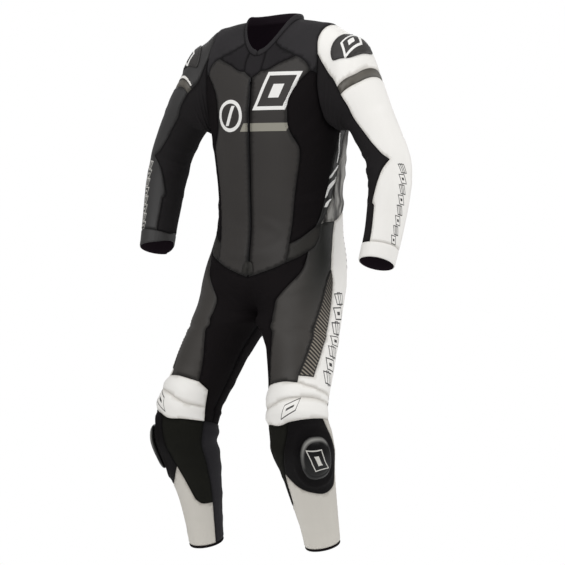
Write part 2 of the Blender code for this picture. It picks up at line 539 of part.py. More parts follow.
# Colours (red, green, blue), roughness
FINISHES = {
    "black_leather": ((0.052, 0.047, 0.044), 0.5),
    "stretch_black": ((0.013, 0.012, 0.012), 0.85),
    "yoke_black": ((0.028, 0.026, 0.029), 0.7),
    "white_leather": ((0.80, 0.78, 0.74), 0.45),
    "grey_leather": ((0.12, 0.108, 0.09), 0.5),
    "silver_print": ((0.30, 0.29, 0.26), 0.4),
    "shin_cloth": ((0.014, 0.014, 0.010), 0.8),
    "slider_plastic": ((0.05, 0.05, 0.05), 0.4),
    "zip_metal": ((0.03, 0.03, 0.03), 0.4),
    "rib_cloth": ((0.10, 0.09, 0.08), 0.6),
}
WHITE_ON_LEFT = ("shoulder_cap", "sleeve", "arm_cuff")
NODE_FINISH = {
    "chest_yoke": "yoke_black", "shoulder_panel": "yoke_black", "garage": "yoke_black",
    "collar": "yoke_black", "side_stretch": "stretch_black", "thigh_back": "stretch_black",
    "groin": "stretch_black", "lumbar": "stretch_black", "inner_sleeve": "stretch_black",
    "calf": "stretch_black", "flank_strip": "silver_print", "outer_thigh": "white_leather",
    "knee_upper": "white_leather", "knee_lower": "white_leather", "shin": "white_leather",
    "shin_fabric": "shin_cloth", "ribbed_panel": "rib_cloth", "sleeve_band": "grey_leather",
    "knee_slider": "slider_plastic", "zip": "zip_metal", "leg_cuff": "stretch_black",
}


def seam_curve(control, count):
    """count + 1 places along a smooth line through the control places."""
    control = np.array(control, float)
    scaled = control * np.array([TUBE_ROUND, 1])
    knots = np.concatenate([[0], np.cumsum(np.linalg.norm(np.diff(scaled, axis=0), axis=1))])
    table = np.column_stack([knots, control])
    at = np.linspace(0, knots[-1], count + 1)
    row = named_rows(table, ("knot", "around", "down"), at)
    line = np.stack([row["around"], row["down"]], -1)
    line[0], line[-1] = control[0], control[-1]
    return line


def length_of(points):
    return float(np.linalg.norm(np.diff(points, axis=0), axis=1).sum())


def seam_places(name):
    tube, start, middle, end = SEAMS[name]
    control = (PLACES[start],) + middle + (PLACES[end],)
    fine = seam_curve(control, 60)
    length = length_of(cloth_point(tube, LEFT, fine[:, 0], fine[:, 1]))
    return seam_curve(control, max(1, round(length / SEAM_STEP)))


def armhole_turns():
    """Turns from -0.25 to 1.25 that every piece round the armhole shares."""
    marks = sorted({round(turn % 1, 6) for turn in TURNS.values()})
    marks.append(marks[0] + 1)
    turns = []
    for start, end in zip(marks[:-1], marks[1:]):
        fine = np.linspace(start, end, 20)
        length = length_of(cloth_point("body", LEFT, *armhole_place(fine)))
        count = max(1, round(length / SEAM_STEP))
        turns += list(start + (end - start) * np.arange(count) / count)
    turns = np.array(turns)
    return np.sort(np.concatenate([turns - 1, turns, turns + 1]))


SEAM_PLACES = {name: seam_places(name) for name in SEAMS}
ARMHOLE_TURNS = armhole_turns()


def loop_of(tube, parts):
    """The places round a panel, and the armhole turn of each place that lies on it."""
    places, turns = [], []
    for part in parts:
        if part.startswith("armhole"):
            first, last = (TURNS[word] for word in part.split()[1:])
            chosen = [t for t in ARMHOLE_TURNS if first - 1e-6 <= t <= last + 1e-6]
            if tube == "arm":
                line = [(turn, 0.0) for turn in chosen]
            else:
                line = [tuple(float(v) for v in armhole_place(turn)) for turn in chosen]
            marks = [round(turn % 1, 6) % 1 for turn in chosen]
        else:
            forward = not part.startswith("-")
            name = part.strip("-").split("+")[0]
            line = SEAM_PLACES[name] + np.array([1.0 if part.endswith("+1") else 0.0, 0])
            line = [tuple(place) for place in (line if forward else line[::-1])]
            marks = [None] * len(line)
        if places and np.allclose(places[-1], line[0], atol=1e-6):
            if turns[-1] is None:
                turns[-1] = marks[0]
            line, marks = line[1:], marks[1:]
        places += line
        turns += marks
    if np.allclose(places[-1], places[0], atol=1e-6):
        if turns[0] is None:
            turns[0] = turns[-1]
        places.pop()
        turns.pop()
    return np.array(places), turns


def inside(places, loop):
    """Which places lie inside the loop."""
    result = np.zeros(len(places), bool)
    x, y = places[:, 0], places[:, 1]
    for (x0, y0), (x1, y1) in zip(loop, np.roll(loop, -1, axis=0)):
        crosses = (y0 > y) != (y1 > y)
        at = x0 + (y - y0) * (x1 - x0) / (y1 - y0 + 1e-12)
        result ^= crosses & (x < at)
    return result


def distance_to_loop(places, loop):
    best = np.full(len(places), np.inf)
    for a, b in zip(loop, np.roll(loop, -1, axis=0)):
        run = b - a
        t = np.clip((places - a) @ run / (run @ run), 0, 1)
        best = np.minimum(best, np.linalg.norm(places - a - t[:, None] * run, axis=1))
    return best


def turns_left(points, triangle):
    a, b, c = (points[k] for k in triangle)
    return (b[0] - a[0]) * (c[1] - a[1]) > (b[1] - a[1]) * (c[0] - a[0])


def fill(loop, across, down):
    """Triangles over a loop of places. Returns all places and the triangles."""
    scale = np.array([TUBE_ROUND / across, 1 / down])
    flat = loop * scale
    low, high = flat.min(axis=0), flat.max(axis=0)
    rows = np.arange(math.floor(low[1]), math.ceil(high[1]) + 1)
    columns = np.arange(math.floor(low[0]), math.ceil(high[0]) + 1)
    grid = np.array([(c + 0.5 * (r % 2), r) for r in rows for c in columns], float)
    grid = grid[inside(grid, flat)]
    if len(grid):
        grid = grid[distance_to_loop(grid, flat) > 0.55]
    points = np.concatenate([flat, grid]) if len(grid) else flat
    count = len(flat)
    face = list(range(count))
    verts, _, faces, origin, _, _ = delaunay_2d_cdt([tuple(p) for p in points], [], [face], 1, 1e-7)
    place = {new: old[0] for new, old in enumerate(origin) if old}
    triangles = [tuple(place[v] for v in f) for f in faces]
    return points / scale, [t if turns_left(points, t) else t[::-1] for t in triangles]


def facing_out(points, normals, triangles):
    """Turns all the triangles over together if they face the other way from the normals."""
    a, b, c = np.array(triangles).T
    turn = np.cross(points[b] - points[a], points[c] - points[a])
    if np.sum(turn * (normals[a] + normals[b] + normals[c])) > 0:
        return [tuple(triangle) for triangle in triangles]
    return [tuple(triangle)[::-1] for triangle in triangles]


def edge_loops(triangles):
    """The next and last point of every point on the open edge."""
    edges = {(t[k], t[(k + 1) % 3]) for t in triangles for k in range(3)}
    return [(a, b) for a, b in edges if (b, a) not in edges]


def drawn_in(points, normals, rim, distance, keep_middle):
    """Moves the edge of a panel in, so that a gap is left at the seam."""
    after, before = dict(rim), {b: a for a, b in rim}
    moved = points.copy()
    for here in after:
        normal = normals[here]
        sides = []
        for start, end in ((before[here], here), (here, after[here])):
            run = points[end] - points[start]
            side = np.cross(normal, run)
            sides.append(side / np.linalg.norm(side))
        shift = distance * (sides[0] + sides[1]) / max(1 + sides[0] @ sides[1], 0.25)
        if keep_middle and abs(points[here][0]) < 1e-6:
            shift[0] = 0
        moved[here] += shift
    return moved


def wall(points, normals, triangles, thickness, lift=0.0, gap=SEAM_GAP, rise=None, middle=False):
    """A closed wall: the outer face, an inner face and the rim between them."""
    triangles = facing_out(points, normals, triangles)
    rim = edge_loops(triangles)
    base = drawn_in(points, normals, rim, gap / 2, middle) if gap else points
    height = lift if rise is None else lift + rise[:, None]
    outer = base + height * normals
    inner = base - (thickness - lift) * normals
    count = len(points)
    faces = list(triangles)
    faces += [(a + count, c + count, b + count) for a, b, c in triangles]
    for a, b in rim:
        if points[a][2] < points[b][2]:
            faces += [(b, a, a + count), (b, a + count, b + count)]
        else:
            faces += [(b, a, b + count), (a, a + count, b + count)]
    return np.concatenate([outer, inner]), faces


def cloth_layers(tube, side, places, turns):
    """Points and normals of the cloth at places, shared exactly along the armhole."""
    points = cloth_point(tube, side, places[:, 0], places[:, 1])
    normals = cloth_normal(tube, side, places[:, 0], places[:, 1])
    marked = [k for k, turn in enumerate(turns) if turn is not None]
    if marked:
        turn = np.array([turns[k] for k in marked])
        points[marked] = cloth_point("body", side, *armhole_place(turn))
        normals[marked] = cloth_normal("arm", side, turn, np.zeros(len(turn)))
    return points, normals


def panel(tube, side, thickness, parts, across=GRID_ACROSS, down=GRID_DOWN):
    loop, turns = loop_of(tube, parts)
    places, triangles = fill(loop, across, down)
    turns = turns + [None] * (len(places) - len(loop))
    points, normals = cloth_layers(tube, side, places, turns)
    return wall(points, normals, triangles, thickness)


def both_halves(places, turns, triangles):
    """Layers of a centre panel, whose halves share their points on the middle plane."""
    left, left_normals = cloth_layers("body", LEFT, places, turns)
    right, right_normals = cloth_layers("body", RIGHT, places, turns)
    middle = np.abs(left[:, 0]) < 1e-6
    left[middle, 0] = 0
    count = len(left)
    index = np.where(middle, np.arange(count), count + np.cumsum(~middle) - 1)
    points = np.concatenate([left, right[~middle]])
    normals = np.concatenate([left_normals, right_normals[~middle]])
    triangles = list(triangles) + [tuple(int(index[k]) for k in t[::-1]) for t in triangles]
    return points, normals, triangles


def centre_panel(thickness, parts):
    loop, turns = loop_of("body", parts)
    places, triangles = fill(loop, GRID_ACROSS, GRID_DOWN)
    turns = turns + [None] * (len(places) - len(loop))
    points, normals, triangles = both_halves(places, turns, triangles)
    return wall(points, normals, triangles, thickness, middle=True)


def ring_piece(tube, side, seam_names, start, end, thickness):
    """A closed band round the end of a sleeve or a leg."""
    around = np.concatenate([SEAM_PLACES[name][:-1, 0] for name in seam_names])
    count = len(around)
    places = np.array([(a, d) for d in (start, end) for a in around])
    points = cloth_point(tube, side, places[:, 0], places[:, 1])
    normals = cloth_normal(tube, side, places[:, 0], places[:, 1])
    triangles = []
    for k in range(count):
        after = (k + 1) % count
        triangles += [(k, after, count + k), (after, count + after, count + k)]
    return wall(points, normals, triangles, thickness)


def strung(line, count):
    """count + 1 points spread evenly along straight pieces between the points of a line."""
    steps = np.concatenate([[0], np.cumsum(np.linalg.norm(np.diff(line, axis=0), axis=1))])
    at = np.linspace(0, steps[-1], count + 1)
    return np.stack([np.interp(at, steps, line[:, k]) for k in range(3)], -1)


def ribbed_panel(side):
    """Slanted ribs between the front and the rear edge of the panel on the thigh."""
    def edge(name):
        places = SEAM_PLACES[name]
        return (cloth_point("body", side, places[:, 0], places[:, 1]),
                cloth_normal("body", side, places[:, 0], places[:, 1]))
    front, front_normal = edge("rib_front")
    rear, rear_normal = edge("rib_rear")
    ribs = round(length_of(front) / RIB_PITCH)
    rows = 4 * ribs
    front, rear = strung(front, rows), strung(rear, rows)
    front_normal = unit(strung_like(front_normal, rows))
    rear_normal = unit(strung_like(rear_normal, rows))
    points, normals, rise, places = [], [], [], SEAM_PLACES["rib_front"]
    for row in range(1, rows + 1):
        fade = min(1, (row - 1) / 6, (rows - row) / 4)
        for share in RIB_COLUMNS:
            slant = RIB_SLANT * (share - 0.5) * fade / RIB_PITCH * 4
            at = np.clip(row + slant, 1, rows)
            low = int(min(at, rows - 1))
            part = at - low
            pair = [(1 - part) * e[low] + part * e[low + 1] for e in (front, rear, front_normal, rear_normal)]
            if share in (0.0, 1.0):
                pair = [e[row] for e in (front, rear, front_normal, rear_normal)]
            normal = unit((1 - share) * pair[2] + share * pair[3])
            width = np.linalg.norm(pair[1] - pair[0])
            crown = share * (1 - share) * 4 * width * np.linalg.norm(pair[3] - pair[2]) / 8
            points.append((1 - share) * pair[0] + share * pair[1] + crown * normal)
            normals.append(normal)
            wave = 0.5 - 0.5 * math.cos(math.pi * row / 2)
            rise.append(0.0 if share in (0.0, 1.0) else RIB_HEIGHT * wave * fade)
    top = (front[0], front_normal[0])
    points.append(top[0])
    normals.append(unit(top[1]))
    rise.append(0.0)
    wide = len(RIB_COLUMNS)
    triangles = [(len(points) - 1, k, k + 1) for k in range(wide - 1)]
    for row in range(rows - 1):
        for k in range(wide - 1):
            a = row * wide + k
            triangles += [(a, a + wide, a + 1), (a + 1, a + wide, a + wide + 1)]
    return wall(np.array(points), np.array(normals), triangles, STRETCH, rise=np.array(rise))


def strung_like(values, count):
    """Values spread like strung points, by their number along the line."""
    at = np.linspace(0, len(values) - 1, count + 1)
    return np.stack([np.interp(at, np.arange(len(values)), values[:, k]) for k in range(3)], -1)


def collar():
    """A padded band that stands on the neck edge, all the way round."""
    names = ("neck_garage", "neck_yoke", "neck_shoulder", "neck_back")
    half = np.concatenate([SEAM_PLACES[name][:-1, 0] for name in names] + [[1.0]])
    sides = [(LEFT, a) for a in half] + [(RIGHT, a) for a in half[-2:0:-1]]
    points = []
    for side, around in sides:
        place = (np.array([around]), np.array([0.0]))
        base = cloth_point("body", side, *place)[0]
        below = cloth_point("body", side, place[0], place[1] + 8)[0]
        upward = unit(COLLAR_UPRIGHT * np.array([0, 0, 1]) + (1 - COLLAR_UPRIGHT) * unit(base - below))
        normal = cloth_normal("body", side, *place)[0]
        outward = unit(normal - (normal @ upward) * upward)
        points += [base + out * outward + up * upward for out, up in COLLAR]
    count, high = len(sides), len(COLLAR)
    faces = []
    for k in range(count):
        for j in range(high):
            a, b = k * high + j, k * high + (j + 1) % high
            c, d = (k + 1) % count * high + j, (k + 1) % count * high + (j + 1) % high
            faces += [(a, c, b), (b, c, d)]
    return np.array(points), faces


def knee_slider(side):
    """The hard slider on the knee: rings of the cloth's own points, moved out."""
    angles = np.arange(SLIDER_SIDES) * 2 * math.pi / SLIDER_SIDES
    around = SLIDER_REACH[0] * power(np.cos(angles), 2 / SLIDER_SQUARE)
    down = SLIDER_REACH[1] * power(np.sin(angles), 2 / SLIDER_SQUARE)
    base = SLIDER_SECTION[0][1]
    rings = [(share, base) for share in reversed(SLIDER_BASE)] + list(SLIDER_SECTION)
    points = []
    for share, height in rings:
        place = (SLIDER_PLACE[0] + share * around, SLIDER_PLACE[1] + share * down)
        points += list(cloth_point("body", side, *place)
                       + height * cloth_normal("body", side, *place))
    centre = (np.array([SLIDER_PLACE[0]]), np.array([SLIDER_PLACE[1]]))
    middle = cloth_point("body", side, *centre)[0]
    normal = cloth_normal("body", side, *centre)[0]
    points += [middle + base * normal, middle + (SLIDER_SECTION[-1][1] + 0.6) * normal]
    low, high, count = len(points) - 2, len(points) - 1, SLIDER_SIDES
    faces = []
    for k in range(count):
        after = (k + 1) % count
        faces.append((low, after, k))
        for ring in range(len(rings) - 1):
            a, b = ring * count + k, ring * count + after
            faces += [(a, b, a + count), (b, b + count, a + count)]
        last = (len(rings) - 1) * count
        faces.append((high, last + k, last + after))
    if side == LEFT:
        faces = [face[::-1] for face in faces]
    return np.array(points), faces


def closed_line(corners, step):
    """Places close together along a smooth closed line through the corners."""
    corners = np.array(corners, float)
    wrapped = np.concatenate([corners[-2:], corners, corners[:3]])
    count = max(4, round(len(corners) * 2))
    line = seam_curve(wrapped, 12 * count)
    start = np.argmin(np.linalg.norm((line - corners[0]) * (TUBE_ROUND, 1), axis=1))
    scaled = line * np.array([TUBE_ROUND, 1])
    steps = np.concatenate([[0], np.cumsum(np.linalg.norm(np.diff(scaled, axis=0), axis=1))])
    end = start + np.argmin(np.linalg.norm((line[start + 6:] - corners[0]) * (TUBE_ROUND, 1), axis=1)) + 6
    number = max(6, round((steps[end] - steps[start]) / step))
    at = np.linspace(steps[start], steps[end], number + 1)[:-1]
    return np.stack([np.interp(at, steps, line[:, k]) for k in range(2)], -1)


def shoulder_shield(side):
    loop = closed_line(SHIELD, OVERLAY_STEP)
    places, triangles = fill(loop, OVERLAY_STEP, OVERLAY_STEP)
    points = cloth_point("arm", side, places[:, 0], places[:, 1])
    normals = cloth_normal("arm", side, places[:, 0], places[:, 1])
    return wall(points, normals, triangles, SHIELD_THICK, lift=OVERLAY_LIFT + SHIELD_THICK, gap=0)


def zip_guard():
    loop = np.array(GUARD)
    places, triangles = fill(loop, OVERLAY_STEP, OVERLAY_STEP)
    points, normals, triangles = both_halves(places, [None] * len(places), triangles)
    return wall(points, normals, triangles, GUARD_THICK, lift=OVERLAY_LIFT + GUARD_THICK, gap=0,
                middle=True)


def finish_for(kind, side_name):
    if kind in WHITE_ON_LEFT:
        return "white_leather" if side_name == "left" else "black_leather"
    return NODE_FINISH.get(kind, "black_leather")


def material(name):
    """A plain leather, cloth or plastic, made once."""
    if name in bpy.data.materials:
        return bpy.data.materials[name]
    colour, roughness = FINISHES[name]
    made = bpy.data.materials.new(name)
    made.use_nodes = True
    shader = made.node_tree.nodes["Principled BSDF"]
    shader.inputs["Base Color"].default_value = (*colour, 1)
    shader.inputs["Roughness"].default_value = roughness
    shader.inputs["Metallic"].default_value = 0.0
    made.diffuse_color = (*colour, 1)
    return made


def add_node(collection, name, kind, side_name, shape):
    points, faces = shape
    mesh = bpy.data.meshes.new(name)
    mesh.from_pydata([tuple(p * METRES) for p in points], [], faces)
    mesh.materials.append(material(finish_for(kind, side_name)))
    for polygon in mesh.polygons:
        polygon.use_smooth = True
    mesh.update()
    piece = bpy.data.objects.new(name, mesh)
    collection.objects.link(piece)


def side_shapes(side):
    """Every piece that both sides have, by its kind."""
    shapes = {kind: panel(tube, side, cloth, parts) for kind, (tube, cloth, parts) in PANELS.items()}
    shapes["ribbed_panel"] = ribbed_panel(side)
    shapes["knee_slider"] = knee_slider(side)
    shapes["shoulder_shield"] = shoulder_shield(side)
    shapes["leg_cuff"] = ring_piece("body", side, ("hem_shin", "hem_calf"), LEG_HEM, LEG_END, LEATHER)
    shapes["arm_cuff"] = ring_piece("arm", side, ("cuff_outer", "cuff_inner"), CUFF_TOP, SLEEVE_END,
                                    LEATHER)
    return shapes


def main():
    for old in list(bpy.data.objects):
        bpy.data.objects.remove(old, do_unlink=True)
    collection = bpy.data.collections.new("race_suit")
    bpy.context.scene.collection.children.link(collection)
    for side_name, side in SIDES.items():
        for kind, shape in side_shapes(side).items():
            add_node(collection, kind + "_" + side_name, kind, side_name, shape)
    for kind, (cloth, parts) in CENTRE_PANELS.items():
        add_node(collection, kind, kind, "", centre_panel(cloth, parts))
    add_node(collection, "collar", "collar", "", collar())
    add_node(collection, "zip_guard", "zip_guard", "", zip_guard())


main()
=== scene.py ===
# A motorcycle race suit: leather and stretch panels sewn round an open, hollow form.
# +X is the wearer's left, the chest faces -Y, +Z is up. Cloth is worked out in millimetres.
import json
import math

import bpy
import numpy as np
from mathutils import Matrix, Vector
from mathutils.bvhtree import BVHTree
from mathutils.geometry import delaunay_2d_cdt

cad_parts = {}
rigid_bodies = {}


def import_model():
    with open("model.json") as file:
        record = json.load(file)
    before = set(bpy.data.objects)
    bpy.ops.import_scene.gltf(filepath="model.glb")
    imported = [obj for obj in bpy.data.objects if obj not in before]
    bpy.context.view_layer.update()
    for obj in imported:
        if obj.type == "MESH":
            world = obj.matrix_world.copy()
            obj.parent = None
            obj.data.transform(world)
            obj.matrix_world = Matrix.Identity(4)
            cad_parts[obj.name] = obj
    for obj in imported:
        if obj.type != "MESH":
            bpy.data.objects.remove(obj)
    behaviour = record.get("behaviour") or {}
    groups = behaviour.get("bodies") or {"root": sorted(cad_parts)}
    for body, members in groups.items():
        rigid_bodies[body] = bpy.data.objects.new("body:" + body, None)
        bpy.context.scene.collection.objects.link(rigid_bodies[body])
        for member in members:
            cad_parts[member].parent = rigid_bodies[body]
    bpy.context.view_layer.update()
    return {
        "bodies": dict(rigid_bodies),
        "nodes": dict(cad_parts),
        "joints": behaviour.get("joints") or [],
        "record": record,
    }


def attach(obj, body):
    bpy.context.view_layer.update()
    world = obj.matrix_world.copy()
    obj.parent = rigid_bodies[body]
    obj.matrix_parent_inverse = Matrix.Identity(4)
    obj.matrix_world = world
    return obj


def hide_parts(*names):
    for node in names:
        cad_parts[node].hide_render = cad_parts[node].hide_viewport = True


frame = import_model()
metres = 0.001
left, right, both = 1, -1, 0
sideNames = {left: "left", right: "right"}
tubeParts = {"body": ("trunk", "leg"), "arm": ("arm",)}
probeAround, probeDown = 2e-3, 0.8  # how far on either side of a place its slopes are taken
tiny = 1e-6  # places this close are one

# The form: half tubes that run from the front centre line round to the back, and sleeves.
# A place on a tube is (around, down): around is 0 to 1, down is in millimetres along it.

trunkColumns = ("down", "side", "front", "back", "half", "fore", "aft", "middle", "square")
trunk = (
    (0, 37, -54, 46, 77, 76, 66, -8, 2.0),
    (36, 33, -80, 30, 113, 92, 86, -6, 2.05),
    (76, 22, -110, 0, 160, 106, 104, -1, 2.15),
    (118, 0, -142, -42, 194, 115, 117, 3, 2.25),
    (160, -56, -172, -92, 204, 121, 125, 6, 2.35),
    (205, -130, -200, -152, 200, 127, 128, 8, 2.4),
    (255, -236, -250, -242, 190, 128, 126, 10, 2.35),
    (330, -325, -328, -325, 179, 125, 122, 10, 2.3),
    (420, -415, -415, -412, 173, 120, 122, 8, 2.25),
    (500, -497, -497, -494, 176, 115, 126, 4, 2.25),
    (575, -568, -572, -568, 189, 118, 130, -4, 2.25),
    (650, -645, -648, -645, 197, 124, 130, -18, 2.25),
    (760, -745, -745, -745, 200, 124, 124, -30, 2.2),
)

# mix is how far the trunk has turned into a leg, inner its distance from the middle plane
# and fork how far the inside of the thigh is drawn up
legColumns = ("down", "mix", "inner", "y", "z", "half", "fore", "aft", "slope", "splay", "square", "fork")
leg = (
    (560, 0.0, 0, -5, -565, 100, 110, 120, 0.00, 0.00, 2.0, 0),
    (620, 0.10, 0, -16, -622, 100, 112, 114, 0.00, 0.00, 2.0, 0),
    (680, 0.45, 0, -34, -682, 103, 114, 102, -0.03, 0.00, 2.0, 0),
    (745, 1.0, 0, -56, -745, 106, 100, 100, -0.12, 0.00, 2.05, 24),
    (762, 1.0, 17, -63, -761, 100, 98, 97, -0.15, 0.03, 2.05, 23),
    (780, 1.0, 35, -71, -778, 92, 94, 94, -0.19, 0.07, 2.05, 16),
    (800, 1.0, 50, -80, -795, 85.5, 90, 90, -0.22, 0.12, 2.05, 8),
    (880, 1.0, 80, -112, -875, 73.5, 79, 76, -0.26, 0.20, 2.1, 0),
    (960, 1.0, 102, -142, -955, 71, 78, 70, -0.18, 0.18, 2.1, 0),
    (1020, 1.0, 112, -146, -1015, 71, 76, 76, 0.00, 0.10, 2.15, 0),
    (1090, 1.0, 114, -120, -1085, 67, 70, 74, 0.20, 0.04, 2.1, 0),
    (1170, 1.0, 125, -88, -1165, 57, 58, 57, 0.26, 0.02, 2.0, 0),
    (1240, 1.0, 137, -68, -1238, 48, 50, 49, 0.26, 0.01, 2.0, 0),
    (1302, 1.0, 144, -54, -1302, 43, 46, 45, 0.26, 0.01, 2.0, 0),
    (1312, 1.0, 146, -51, -1312, 42, 45, 44, 0.26, 0.01, 2.0, 0),
)

armColumns = ("down", "mix", "x", "y", "z", "out", "deep", "lean", "swing")
arm = (
    (0, 0.0, 190, 3, -122, 110, 84, 80, 0),
    (95, 0.65, 229, 0, -134, 114, 84, 69, 0),
    (175, 1.0, 262, -5, -174, 81, 78, 57, 2),
    (255, 1.0, 292, -6, -211, 60, 66, 32, 3),
    (320, 1.0, 323, -7, -262, 55, 58, 25, 4),
    (390, 1.0, 349, -7, -325, 52, 55, 14, 6),
    (470, 1.0, 361, -18, -403, 51, 52, 6, 12),
    (550, 1.0, 362, -37, -483, 47, 48, 2, 18),
    (630, 1.0, 359, -61, -560, 44, 46, 4, 24),
    (640, 1.0, 359, -65, -570, 43, 45, 4, 25),
)

armhole = {"around": 0.5, "down": 170.5, "wide": 0.185, "high": 86.5, "square": 2.3,
           "bulge": 0.020, "bulgeAt": 0.11, "dip": 7.0}

# How each limb stands a little differently from its twin
sleevePoseColumns = ("down", "x", "y", "z", "twist", "slide", "tilt")
sleevePose = {
    left: ((0, 0, 0, 0, 0, 0, 0), (120, 0, 0, 0, -0.015, 0, 0), (255, -3, 0, -2, -0.03, 0, 0),
           (430, -2, -3, -6, -0.03, 0, 0), (640, -5, -6, -13, -0.03, 0, 0)),
    right: ((0, 0, 0, 0, 0, 0, 0), (120, -5, 0, -3, 0, 6, 56), (180, -4, 0, 0, 0, 3, 58),
            (255, -2, 1, 3, 0, -8, 32), (330, -2, 2, 5, 0.018, -10, 8), (400, -2, 3, 7, 0.045, -9, 0),
            (480, -2, 3, 9, 0.055, -6, 0), (640, -5, 6, 15, 0.060, 0, 0)),
}
shinPoseColumns = ("down", "x", "y", "z")
shinPose = {
    left: ((0, 0, 0, 0), (1000, 0, 0, 0), (1100, -11, 11, 6), (1312, -26, 32, 19)),
    right: ((0, 0, 0, 0), (1000, 0, 0, 0), (1056, 4, 0, 5), (1180, 0, 0, 0), (1312, 0, 0, 0)),
}

crotch, legHem, legEnd, cuffTop, sleeveEnd, zipHalf = 745.0, 1295.0, 1302.0, 592.0, 630.0, 0.0032
turnLength = 450.0  # what one turn round a tube counts for
flatTurns = {"body": 0.53, "arm": 0.36}  # metres of flat cloth for one turn of around

# Soft rises over padding and fullness: centre, reach each way, height
rises = (
    ("leg", 0.30, 918, 0.22, 17, 6.0),
    ("leg", 0.30, 955, 0.22, 17, 7.0),
    ("leg", 0.40, 1040, 0.14, 60, 5.0),
    ("trunk", 0.50, 84, 0.12, 17, 5.0),
    ("arm", 0.00, 120, 0.20, 60, 2.0),
    ("arm", 0.04, 62, 0.20, 46, -5.0),
    ("arm", 0.03, 140, 0.20, 60, -3.0),
    ("arm", 0.93, 392, 0.14, 60, 6.0),
    ("leg", 0.75, 640, 0.14, 90, 8.0),
    ("leg", 0.92, 1040, 0.12, 60, 8.0),
)

# The same on one side only
ownRises = (
    (right, "trunk", 0.38, 440, 0.15, 150, -7.0),
    (right, "trunk", 0.36, 600, 0.14, 75, 6.0),
    (right, "leg", 0.40, 795, 0.12, 40, -5.0),
    (right, "leg", 0.95, 956, 0.10, 20, 7.0),
    (right, "leg", 0.96, 1004, 0.12, 34, 5.0),
    (left, "leg", 0.62, 855, 0.12, 42, 5.0),
    (left, "leg", 0.61, 1040, 0.10, 45, 8.0),
    (left, "leg", 0.10, 1100, 0.10, 45, -8.0),
    (right, "arm", 0.03, 138, 0.22, 48, -6.0),
)

# Folds that both sides share: from a place to a place, width, height (negative for a trough)
folds = (
    ("trunk", 0.47, 300, 0.70, 330, 13, 4.0),
    ("trunk", 0.55, 365, 0.75, 352, 13, 4.0),
    ("trunk", 0.45, 420, 0.72, 436, 14, 5.0),
    ("trunk", 0.34, 560, 0.10, 640, 16, -4.0),
    ("leg", 0.14, 640, 0.05, 720, 14, 3.0),
    ("leg", 0.62, 950, 0.92, 962, 13, -5.0),
    ("leg", 0.60, 990, 0.93, 1004, 14, 5.0),
    ("leg", 0.62, 1030, 0.92, 1040, 13, -4.0),
    ("arm", 0.30, 372, 0.60, 384, 12, -2.5),
    ("arm", 0.28, 404, 0.60, 412, 13, 2.5),
    ("arm", 0.40, 300, 0.62, 330, 13, 3.0),
)

